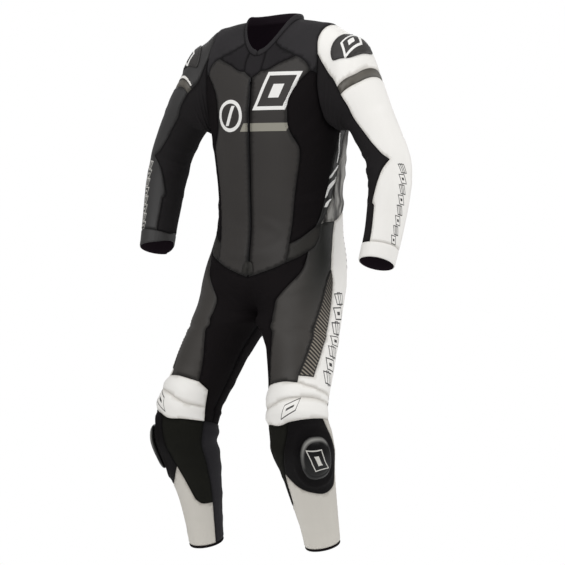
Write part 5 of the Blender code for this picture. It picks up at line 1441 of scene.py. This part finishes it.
def tubePiece(kind, side, tube, seamNames, end, look):
    # a band of cloth all the way round the end of a sleeve or a leg, its open end turned under
    count, rows = look["count"], look["rowsDown"]
    turnPlaces = np.arange(count) / count + look["from"]
    top = np.concatenate([seamLines[name] for name in seamNames])
    start = np.interp(turnPlaces, *top[np.argsort(top[:, 0])].T)
    end = end + look.get("longer", 0) * np.cos(2 * math.pi * turnPlaces)
    end = end - look.get("cutBack", 0) * np.exp(-((turnPlaces - 0.47) / 0.16) ** 2)
    found = np.array([(a, low + (high - low) * row / rows) for row in range(rows + 1)
                      for a, low, high in zip(turnPlaces, start, end)])
    points, normals, lift = creasedPlace(tube, side, *found.T)
    start, end = np.tile(start, rows + 1), np.tile(end, rows + 1)
    fromSeam, fromEnd = found[:, 1] - start, end - found[:, 1]
    height = (look["roll"] * (1 - np.exp(-(fromSeam / 3.0) ** 2))
              - look["dip"] * np.exp(-(fromSeam / 1.8) ** 2)
              - look["thick"] * 0.5 * np.exp(-(fromEnd / 1.2) ** 2))
    for place, deep in look.get("grooves", ()):
        height -= deep * np.exp(-((fromSeam - place) / 1.2) ** 2)
    for place, deep in look.get("uprights", ()):
        height -= deep * np.exp(-((found[:, 0] - place) / 0.006) ** 2)
    gap = np.where(fromSeam < 0.01, sewing["gap"] / 2, 0)[:, None]
    down = creasedPlace(tube, side, found[:, 0], found[:, 1] + 1)[0] - points
    outer = points + height[:, None] * normals + gap * unit(down)
    inner = points - look["thick"] * normals
    triangles = []
    for row in range(rows):
        for k in range(count):
            a, b = row * count + k, row * count + (k + 1) % count
            triangles += [(a, b, a + count), (b, b + count, a + count)]
    triangles = facingOut(points, normals, triangles)
    name = kind + "_" + sideNames[side]
    # its seam layer darkens the band next to its seam: dirt and painted shade
    made = wall(pieceName(name), outer, inner, triangles, openEdges(triangles), (look["finish"], "lining"),
                found * (side * flatTurns["arm"], metres),
                {"seam": look["dip"] * np.exp(-(fromSeam / sewing["seamReach"]) ** 2), "crease": lift / 2})
    onSuit(made, look["slot"], name)
    length = float((end - start).mean()) * metres


armCuff = {**white, **rightBlack, "count": 96, "rowsDown": 12, "from": -0.31, "roll": 0.5, "dip": 0.35,
           "rightDip": 1.0, "rightLonger": 8, "rightCutBack": 18, "grooves": ((30, 0.35),),
           "uprights": ((0.283, 0.6), (0.312, 0.5))}
legCuff = {**stretch, "thick": 2.0, "count": 84, "rowsDown": 4, "from": 0.045, "roll": 0.2, "dip": 1.0}


def makeCuffs():
    for side in sideNames:
        tubePiece("arm_cuff", side, "arm", ("cuffOuter", "cuffInner"), sleeveEnd, sided(armCuff, side))
        tubePiece("leg_cuff", side, "body", ("hemShin", "hemCalf"), legEnd, legCuff)


# The collar's section, as (out, up) from the neck edge; it reaches down inside as a facing
collarLook = {"section": ((0.2, -0.6), (1.0, 1.8), (1.5, 4.5), (1.6, 7.5), (1.1, 10.4), (-0.1, 12.8),
                          (-1.9, 14.0), (-3.8, 13.4), (-5.0, 11.2), (-5.5, 7.5), (-5.4, 3.0), (-4.9, -3.0),
                          (-4.4, -9.0), (-3.7, -9.4), (-3.0, -4.0), (-2.6, -1.0)),
              "outer": 7, "upright": 0.75, "step": 0.008, "notchWide": 3.4, "notchDeep": 5.0, "seamUp": 9.2,
              "seamDeep": 0.55, "seamWide": 0.9,
              "finish": "yokeCloth", "slot": "yoke_cloth", "fill": 0.5, "flatTurn": 0.22}


def makeCollar():
    look = collarLook
    half = np.arange(0, 1 + look["step"] / 2, look["step"])
    stops = [(left, a) for a in half] + [(right, a) for a in half[-2:0:-1]]
    points, near = [], []
    for side, around in stops:
        place = (np.array([around]), np.array([0.0]))
        base, normal = (values[0] for values in clothPlace("body", side, *place))
        below = plainPoint("body", side, place[0], place[1] + 8)[0]
        upward = unit(look["upright"] * np.array([0, 0, 1]) + (1 - look["upright"]) * unit(base - below))
        outward = unit(normal - (normal @ upward) * upward)
        notch = look["notchDeep"] * math.exp(-(base[0] / look["notchWide"]) ** 2) * (around < 0.2)
        for out, up in look["section"]:
            fromSeam, outside = up - look["seamUp"], out > 0
            dent = look["seamDeep"] * math.exp(-(fromSeam / look["seamWide"]) ** 2) + notch * 0.3
            lower = notch * max(0.0, up) / 14
            points.append(base + (out - dent * outside) * outward + (up - lower) * upward)
            # darker by the seam, dirt and painted shade, and in the front notch, painted shade
            near.append(max(math.exp(-(fromSeam / 1.2) ** 2), notch / 4) * outside)
    count, high = len(stops), len(look["section"])
    faces, faceFinish = [], []
    for k in range(count):
        for j in range(high):
            a, b = k * high + j, k * high + (j + 1) % high
            c, d = (k + 1) % count * high + j, (k + 1) % count * high + (j + 1) % high
            faces.append((a, c, d, b))
            faceFinish.append(0 if j < look["outer"] or j == high - 1 else 1)
    flat = np.array([(side * around * look["flatTurn"], up * metres) for side, around in stops
                     for out, up in look["section"]])
    made = meshObject("collarBand", np.array(points), faces, [finish(look["finish"]), finish("lining")],
                      faceFinish, {"seam": np.array(near), "crease": np.zeros(len(points))}, flat)
    onSuit(made, look["slot"], "collar")


# Slanted ribs between the front and the rear edge of the panel on the thigh
ribLook = {"pitch": 9.0, "height": 2.0, "slant": 26.0, "columns": 17, "perRib": 8, "thick": 1.5, "sunk": 0.8,
           "fadeIn": 8, "fadeOut": 3, "edge": 9, "finish": "ribCloth", "slot": "rib_cloth"}


def strung(line, values, count):
    steps = stepsAlong(line)
    return valuesAt(np.linspace(0, steps[-1], count + 1), steps, values)


def makeRibs(side):
    edges = []
    for name in ("ribFront", "ribRear"):
        found = seamLines[name]
        edges.append((found, plainPoint("body", side, *found.T)))
    ribs = round(lengthOf(edges[0][1]) / ribLook["pitch"])
    rows = ribLook["perRib"] * ribs
    front, rear = (strung(points, found, rows) for found, points in edges)
    across = np.linspace(0, 1, ribLook["columns"])
    found, rise, shares = [], [], []
    for row in range(1, rows + 1):
        fade = min(1, (row - 1) / ribLook["fadeIn"], (rows - row) / ribLook["fadeOut"])
        for share in across:
            found.append((1 - share) * front[row] + share * rear[row])
            slant = ribLook["slant"] * (share - 0.5) / ribLook["pitch"]
            wave = 0.5 - 0.5 * math.cos(2 * math.pi * (row / ribLook["perRib"] - slant))
            edge = min(1, ribLook["edge"] * share, ribLook["edge"] * (1 - share))
            rise.append(wave * edge * fade)
            shares.append(edge)
    found.append(front[0])
    rise.append(0.0)
    shares.append(0.0)
    found, rise, flatter = np.array(found), np.array(rise), 1 - np.array(shares)
    wide = ribLook["columns"]
    triangles = [(len(found) - 1, k, k + 1) for k in range(wide - 1)]
    for row in range(rows - 1):
        for k in range(wide - 1):
            a = row * wide + k
            triangles += [(a, a + wide, a + 1), (a + 1, a + wide, a + wide + 1)]
    points, normals, lift = creasedPlace("body", side, *found.T)
    triangles = facingOut(points, normals, triangles)
    rim = openEdges(triangles)
    base, _ = drawnIn(points, normals, rim, sewing["gap"] / 2)
    height = rise * ribLook["height"] - ribLook["sunk"] * flatter
    outer = base + height[:, None] * normals
    name = "ribbed_panel_" + sideNames[side]
    flat = found * (side * flatTurns["body"], metres)
    made = wall(pieceName(name), outer, points - ribLook["thick"] * normals, triangles, rim,
                (ribLook["finish"], "lining"), flat, {"seam": flatter, "rib": rise, "crease": lift / 2})
    onSuit(made, ribLook["slot"], name)
    width, length, area = cutSize(flat, outer, triangles)


def closedLine(corners, step):
    # places close together along a smooth closed line through the corners
    corners = np.array(corners, float)
    line = seamCurve(np.concatenate([corners[-2:], corners, corners[:3]]), 40 * len(corners))
    away = np.linalg.norm((line - corners[0]) * (turnLength, 1), axis=1)
    steps = stepsAlong(line * (turnLength, 1))
    start = np.argmin(away)
    end = start + 20 + np.argmin(away[start + 20:])
    number = max(6, round((steps[end] - steps[start]) / step))
    return valuesAt(np.linspace(steps[start], steps[end], number + 1)[:-1], steps, line)


def patchPiece(name, side, tube, loop, look, node=None, halves=False):
    # a closed patch that lies on the cloth, its edge rounded over; crown swells its middle
    found, triangles = fillLoop(loop, look["step"], look["step"])
    points, normals, _, triangles, rim, distance, flat = laidPanel(
        tube, side, found, [None] * len(found), triangles, halves)
    rounding = look["rounding"]
    height = look["lift"] + look["thick"] - rounding * np.exp(-(distance / rounding / 1.2) ** 2)
    height += look.get("crown", 0) * (1 - np.exp(-(distance / look.get("crownReach", 12)) ** 2))
    for place, wide, tall in look.get("rings", ()):
        height += tall * np.exp(-((distance - place) / wide) ** 2)
    outer = points + height[:, None] * normals
    # darker along the stitched groove (at the edge, where no stitching is given): dirt and painted shade
    near = 0.6 * np.exp(-((distance - look.get("stitchAt", 0)) / 1.6) ** 2)
    made = wall(name, outer, points + look["lift"] * normals, triangles, rim, (look["finish"],), flat,
                {"seam": near, "crease": 0 * near})
    onSuit(made, look["slot"], node)
    width, length, area = cutSize(flat, outer, triangles)
    if "wide" in look:
        # a narrow strip, with a millimetre of turning along each side
        width, length = (look["wide"] + 2.1) * metres, area / look["wide"] / metres


shield = {"outline": ((0.190, 80), (0.160, 61), (0.110, 57), (0.04, 61), (-0.015, 74), (-0.045, 102),
                      (-0.038, 130), (0.0, 137), (0.06, 135), (0.125, 127), (0.175, 100)),
          "thick": 2.2, "lift": 1.1, "rounding": 1.1, "crown": 0.8, "crownReach": 16, "step": 4.0,
          "rings": ((5.5, 1.3, -0.7), (3.0, 1.2, 0.3)), "stitchAt": 5.5,
          "finish": "shieldPrinted", "slot": "black_leather"}
guard = {"outline": ((0, 574), (0.012, 577), (0.021, 586), (0.024, 600), (0.012, 606), (0, 608)),
         "thick": 1.4, "lift": 1.1, "rounding": 0.7, "step": 3.0, "rings": ((3.0, 0.8, -0.3),),
         "finish": "hipLeather", "slot": "black_leather"}
sleeveStripe = {"above": 2.0, "wide": 8.0, "thick": 0.3, "lift": 0.35, "rounding": 0.15, "step": 4.0,
                "finish": "whiteLeather", "slot": "white_leather"}


def makeOverlays():
    for side, sideName in sideNames.items():
        patchPiece("shoulderShield" + sideName.capitalize(), side, "arm",
                   closedLine(shield["outline"], shield["step"]), shield, "shoulder_shield_" + sideName)
    patchPiece("zipGuardPatch", left, "body", seamCurve(guard["outline"], 24), guard, "zip_guard",
               halves=True)
    seam = seamLines["sleeveBandTop"][2:-1]
    loop = np.concatenate([seam - (0, sleeveStripe["above"]),
                           seam[::-1] - (0, sleeveStripe["above"] + sleeveStripe["wide"])])
    patchPiece("sleeveStripeRight", right, "arm", loop, sleeveStripe)


def selectOnly(*pieces):
    bpy.ops.object.select_all(action="DESELECT")
    for piece in pieces:
        piece.select_set(True)
    bpy.context.view_layer.objects.active = pieces[0]


def startFlat(name, kind, **size):
    # a primitive on the flat: across, down and height in millimetres
    bpy.ops.object.select_all(action="DESELECT")
    getattr(bpy.ops.mesh, "primitive_" + kind + "_add")(**size)
    made = bpy.context.object
    made.name = made.data.name = name
    bpy.ops.object.transform_apply()
    return made


def editWhole(made):
    selectOnly(made)
    bpy.ops.object.mode_set(mode="EDIT")
    bpy.ops.mesh.select_all(action="SELECT")


def resized(across, down, high=1):
    bpy.ops.transform.resize(value=(across, down, high))


def raised(height):
    bpy.ops.mesh.extrude_region_move(TRANSFORM_OT_translate={"value": (0, 0, height)})


def bevelled(made, width, segments):
    selectOnly(made)
    bpy.ops.object.modifier_add(type="BEVEL")
    bevel = made.modifiers[0]
    bevel.width, bevel.segments = width, segments
    bpy.ops.object.modifier_apply(modifier=bevel.name)


def laidOn(made, tube, side, place, shades):
    # lays a flat piece on the cloth: place turns (x, y, z) into around, down and height
    mesh = made.data
    flat = np.empty(3 * len(mesh.vertices))
    mesh.vertices.foreach_get("co", flat)
    flat = flat.reshape(-1, 3)
    layer = mesh.uv_layers.new(name="cloth") if not mesh.uv_layers else mesh.uv_layers[0]
    layer.name = "cloth"
    layer.data.foreach_set("uv", (flat[cornersOf(mesh), :2] * metres).ravel())
    around, down, height = place(*flat.T)
    here, normal, _ = creasedPlace(tube, side, around, down)
    mesh.vertices.foreach_set("co", ((here + height[:, None] * normal) * metres).ravel())
    mesh.update()
    editWhole(made)
    bpy.ops.mesh.normals_make_consistent(inside=False)
    bpy.ops.object.mode_set(mode="OBJECT")
    bpy.ops.object.shade_smooth_by_angle(angle=math.radians(38))
    mesh.materials.clear()
    mesh.materials.append(finish(shades))


# The knee slider: half its width, and (share of its reach, height over the cloth) from foot to crown
slider = {"across": 42.0, "section": ((1.0, 1.0), (1.012, 2.6), (1.018, 4.2), (1.01, 5.4), (0.985, 6.6),
                                      (0.945, 7.8), (0.89, 8.9), (0.835, 9.6), (0.795, 9.85), (0.782, 9.65),
                                      (0.768, 9.6), (0.755, 9.85), (0.60, 10.2), (0.30, 10.6), (0.12, 10.7)),
          "sides": 96, "finish": "sliderPrinted", "slot": "slider_plastic"}


def makeSlider(side):
    across, tall = slider["across"], sliderPlace["reachDown"]
    made = startFlat("kneeSlider" + sideNames[side].capitalize(), "circle", vertices=slider["sides"],
                     radius=across, fill_type="NGON")
    editWhole(made)
    resized(1, tall / across)
    bpy.ops.transform.translate(value=(0, 0, slider["section"][0][1]))
    for (share, low), (after, high) in zip(slider["section"], slider["section"][1:]):
        raised(high - low)
        resized(after / share, after / share)
    bpy.ops.object.mode_set(mode="OBJECT")

    def place(x, y, z):
        # the round outline is squared a little, as the moulding is
        angle, share = np.arctan2(y / tall, x / across), np.hypot(x / across, y / tall)
        square = 2 / sliderPlace["square"]
        return (sliderPlace["around"] + share * sliderPlace["reachAround"] * power(np.cos(angle), square),
                sliderPlace["down"] + share * tall * power(np.sin(angle), square), z)

    laidOn(made, "body", side, place, slider["finish"])
    onSuit(made, slider["slot"], "knee_slider_" + sideNames[side])


# The zip: alternate teeth down both tapes, the slide and its small puller under the garage. Its turn
# is the width, close to the zip, that counts as one turn of around
zipLook = {"turn": 1060.0, "top": 84.0, "end": 596.0, "pitch": 2.6, "tooth": (2.5, 1.5, 1.3),
           "toothRound": 0.35, "lean": 0.95, "lift": 0.4, "slideAt": 88.0, "slide": (7.0, 11.0, 2.6),
           "slideLift": 1.7, "bridge": 0.8, "puller": (4.6, 16.0, 1.1), "pullerLift": 5.3, "sunk": 0.35,
           "round": 0.3, "finish": "zipMetal", "slot": "zip"}


def zipTeeth():
    wide, long, high = zipLook["tooth"]
    tooth = startFlat("zipTooth", "cube", size=1)
    tooth.scale = (wide, long, high)
    bpy.ops.object.transform_apply()
    bevelled(tooth, zipLook["toothRound"], 1)
    teeth = []
    for k in range(int((zipLook["end"] - zipLook["top"]) / zipLook["pitch"] * 2)):
        copy = tooth.copy()
        copy.data = tooth.data.copy()
        copy.location = (zipLook["lean"] if k % 2 else -zipLook["lean"],
                         zipLook["top"] + k * zipLook["pitch"] / 2, zipLook["lift"] + high / 2)
        bpy.context.scene.collection.objects.link(copy)
        teeth.append(copy)
    bpy.data.objects.remove(tooth)
    selectOnly(*teeth)
    bpy.ops.object.join()
    row = teeth[0]
    bpy.ops.object.transform_apply()
    row.name = row.data.name = "zipTeeth"
    return row


def zipSlide():
    # a bevelled body, its front drawn in to a bridge
    wide, long, high = zipLook["slide"]
    body = startFlat("zipSlide", "cube", size=1,
                     location=(0, zipLook["slideAt"], zipLook["slideLift"] + high / 2))
    editWhole(body)
    resized(wide, long, high)
    bpy.ops.mesh.select_all(action="DESELECT")
    bpy.ops.object.mode_set(mode="OBJECT")
    for face in body.data.polygons:
        face.select = face.normal.z > 0.9
    bpy.ops.object.mode_set(mode="EDIT")
    bpy.ops.mesh.inset(thickness=0.9, depth=0)
    raised(zipLook["bridge"])
    resized(0.55, 0.8)
    bpy.ops.object.mode_set(mode="OBJECT")
    bevelled(body, zipLook["round"], 2)
    return body


def zipPuller():
    # an oval tag with a sunk face
    wide, long, high = zipLook["puller"]
    puller = startFlat("zipPuller", "circle", vertices=20, radius=0.5, fill_type="NGON",
                       location=(0, zipLook["slideAt"] + long / 2, zipLook["pullerLift"]))
    editWhole(puller)
    resized(wide, long)
    raised(high)
    bpy.ops.mesh.inset(thickness=0.8, depth=0)
    raised(-zipLook["sunk"])
    bpy.ops.object.mode_set(mode="OBJECT")
    bevelled(puller, zipLook["round"], 2)
    return puller


def makeZip():
    def onZip(x, y, z):
        return x / zipLook["turn"], y, z

    for piece in (zipTeeth(), zipSlide(), zipPuller()):
        laidOn(piece, "body", left, onZip, zipLook["finish"])
        onSuit(piece, zipLook["slot"])


def makeStitches():
    # one stitch, copied along every row of sewing
    seed = startFlat("stitchSeed", "ico_sphere", subdivisions=1, radius=0.5)
    corners = np.array([tuple(v.co) for v in seed.data.vertices])
    corners *= (stitch["long"], stitch["wide"], stitch["high"])
    sides = np.array([tuple(p.vertices) for p in seed.data.polygons])
    bpy.data.objects.remove(seed)
    for (thread, side), found in stitches.items():
        spots, along, across, facing = (np.array(part)[:, None] for part in zip(*found))
        points = (spots + corners[None, :, :1] * along + corners[None, :, 1:2] * across
                  + (corners[None, :, 2:] + stitch["high"] * stitch["proud"]) * facing)
        faces = sides[None] + (np.arange(len(spots)) * len(corners))[:, None, None]
        name = thread + (sideNames[side].capitalize() if side else "Middle")
        made = meshObject(name, points.reshape(-1, 3), faces.reshape(-1, 3).tolist(), [finish(thread)])
        onSuit(made, "black_leather" if thread == "darkThread" else "white_leather")
        print(name, len(spots), "stitches")


makeCuffs()
makeCollar()
for side in sideNames:
    makeRibs(side)
    makeSlider(side)
makeOverlays()
makeZip()
makeStitches()
print("cuffs, collar, ribs, sliders, overlays, zip and stitches made")

# Camera, soft lights and a plain pale floor
studio = {
    "turn": 37.0, "away": 6.0, "height": -0.418, "aimHeight": -0.628, "aimSide": 0.014, "lens": 150.0,
    "sensor": 36.0, "middle": Vector((0, 0, -0.62)), "floor": -1.62, "floorSize": 8, "paperFade": (0.40, 1.7),
    "ambient": 0.42, "backdrop": 1.0,
    "lights": (  # turn from the camera, elevation, distance, width, power
        ("keyLight", -42, 30, 3.2, 2.2, 42),
        ("fillLight", 52, 14, 3.4, 2.4, 36),
        ("topLight", 8, 74, 3.2, 2.6, 24),
        ("sideLight", 104, 12, 3.2, 2.0, 20),
        ("rearLight", 178, 30, 3.6, 2.4, 24),
    ),
}


def aimed(name, data, place, target):
    # a camera or lamp at a place, turned to its target
    made = bpy.data.objects.new(name, data)
    made.location = place
    made.rotation_mode = "QUATERNION"
    made.rotation_quaternion = (target - made.location).to_track_quat("-Z", "Y")
    bpy.context.scene.collection.objects.link(made)
    return made


def makeStudio():
    scene = bpy.context.scene
    scene.view_settings.view_transform = "Standard"
    a = math.radians(studio["turn"])
    toCamera, rightward = Vector((math.sin(a), -math.cos(a), 0)), Vector((math.cos(a), math.sin(a), 0))
    data = bpy.data.cameras.new("camera")
    data.lens, data.sensor_width = studio["lens"], studio["sensor"]
    scene.camera = aimed("camera", data, toCamera * studio["away"] + Vector((0, 0, studio["height"])),
                         rightward * studio["aimSide"] + Vector((0, 0, studio["aimHeight"])))
    for name, turn, elevation, away, width, watts in studio["lights"]:
        b, e = math.radians(studio["turn"] + turn), math.radians(elevation)
        lamp = bpy.data.lights.new(name, "AREA")
        lamp.shape, lamp.size, lamp.energy = "SQUARE", width, watts
        outward = Vector((math.sin(b) * math.cos(e), -math.cos(b) * math.cos(e), math.sin(e)))
        aimed(name, lamp, studio["middle"] + outward * away, studio["middle"])
    world = bpy.data.worlds.new("studio")
    world.use_nodes = True
    scene.world = world
    background = world.node_tree.nodes["Background"]
    seen = Shade(world.node_tree).node("ShaderNodeLightPath", output="Is Camera Ray")
    # the backdrop is seen brighter than it lights
    join(seen * (studio["backdrop"] - studio["ambient"]) + studio["ambient"], background.inputs["Strength"])
    background.inputs["Color"].default_value = (1, 1, 1, 1)
    bpy.ops.object.select_all(action="DESELECT")
    bpy.ops.mesh.primitive_plane_add(size=studio["floorSize"], location=(0, 0, studio["floor"]))
    floor = bpy.context.object
    floor.name = "floor"
    material, paper, shader = newFinish("floorPaper", {
        "Base Color": (0.92, 0.92, 0.92, 1), "Roughness": 0.9, "Emission Color": (1, 1, 1, 1),
        "Emission Strength": 0.45})
    place = objectPlace(paper)
    away = place.node("ShaderNodeVectorMath", {"operation": "LENGTH"}, {0: place}, "Value")
    # the paper runs out into the white behind
    join(smoothly(away, *studio["paperFade"], 1.0, 0.0), shader.inputs["Alpha"])
    floor.data.materials.append(material)


makeStudio()
print("studio made")
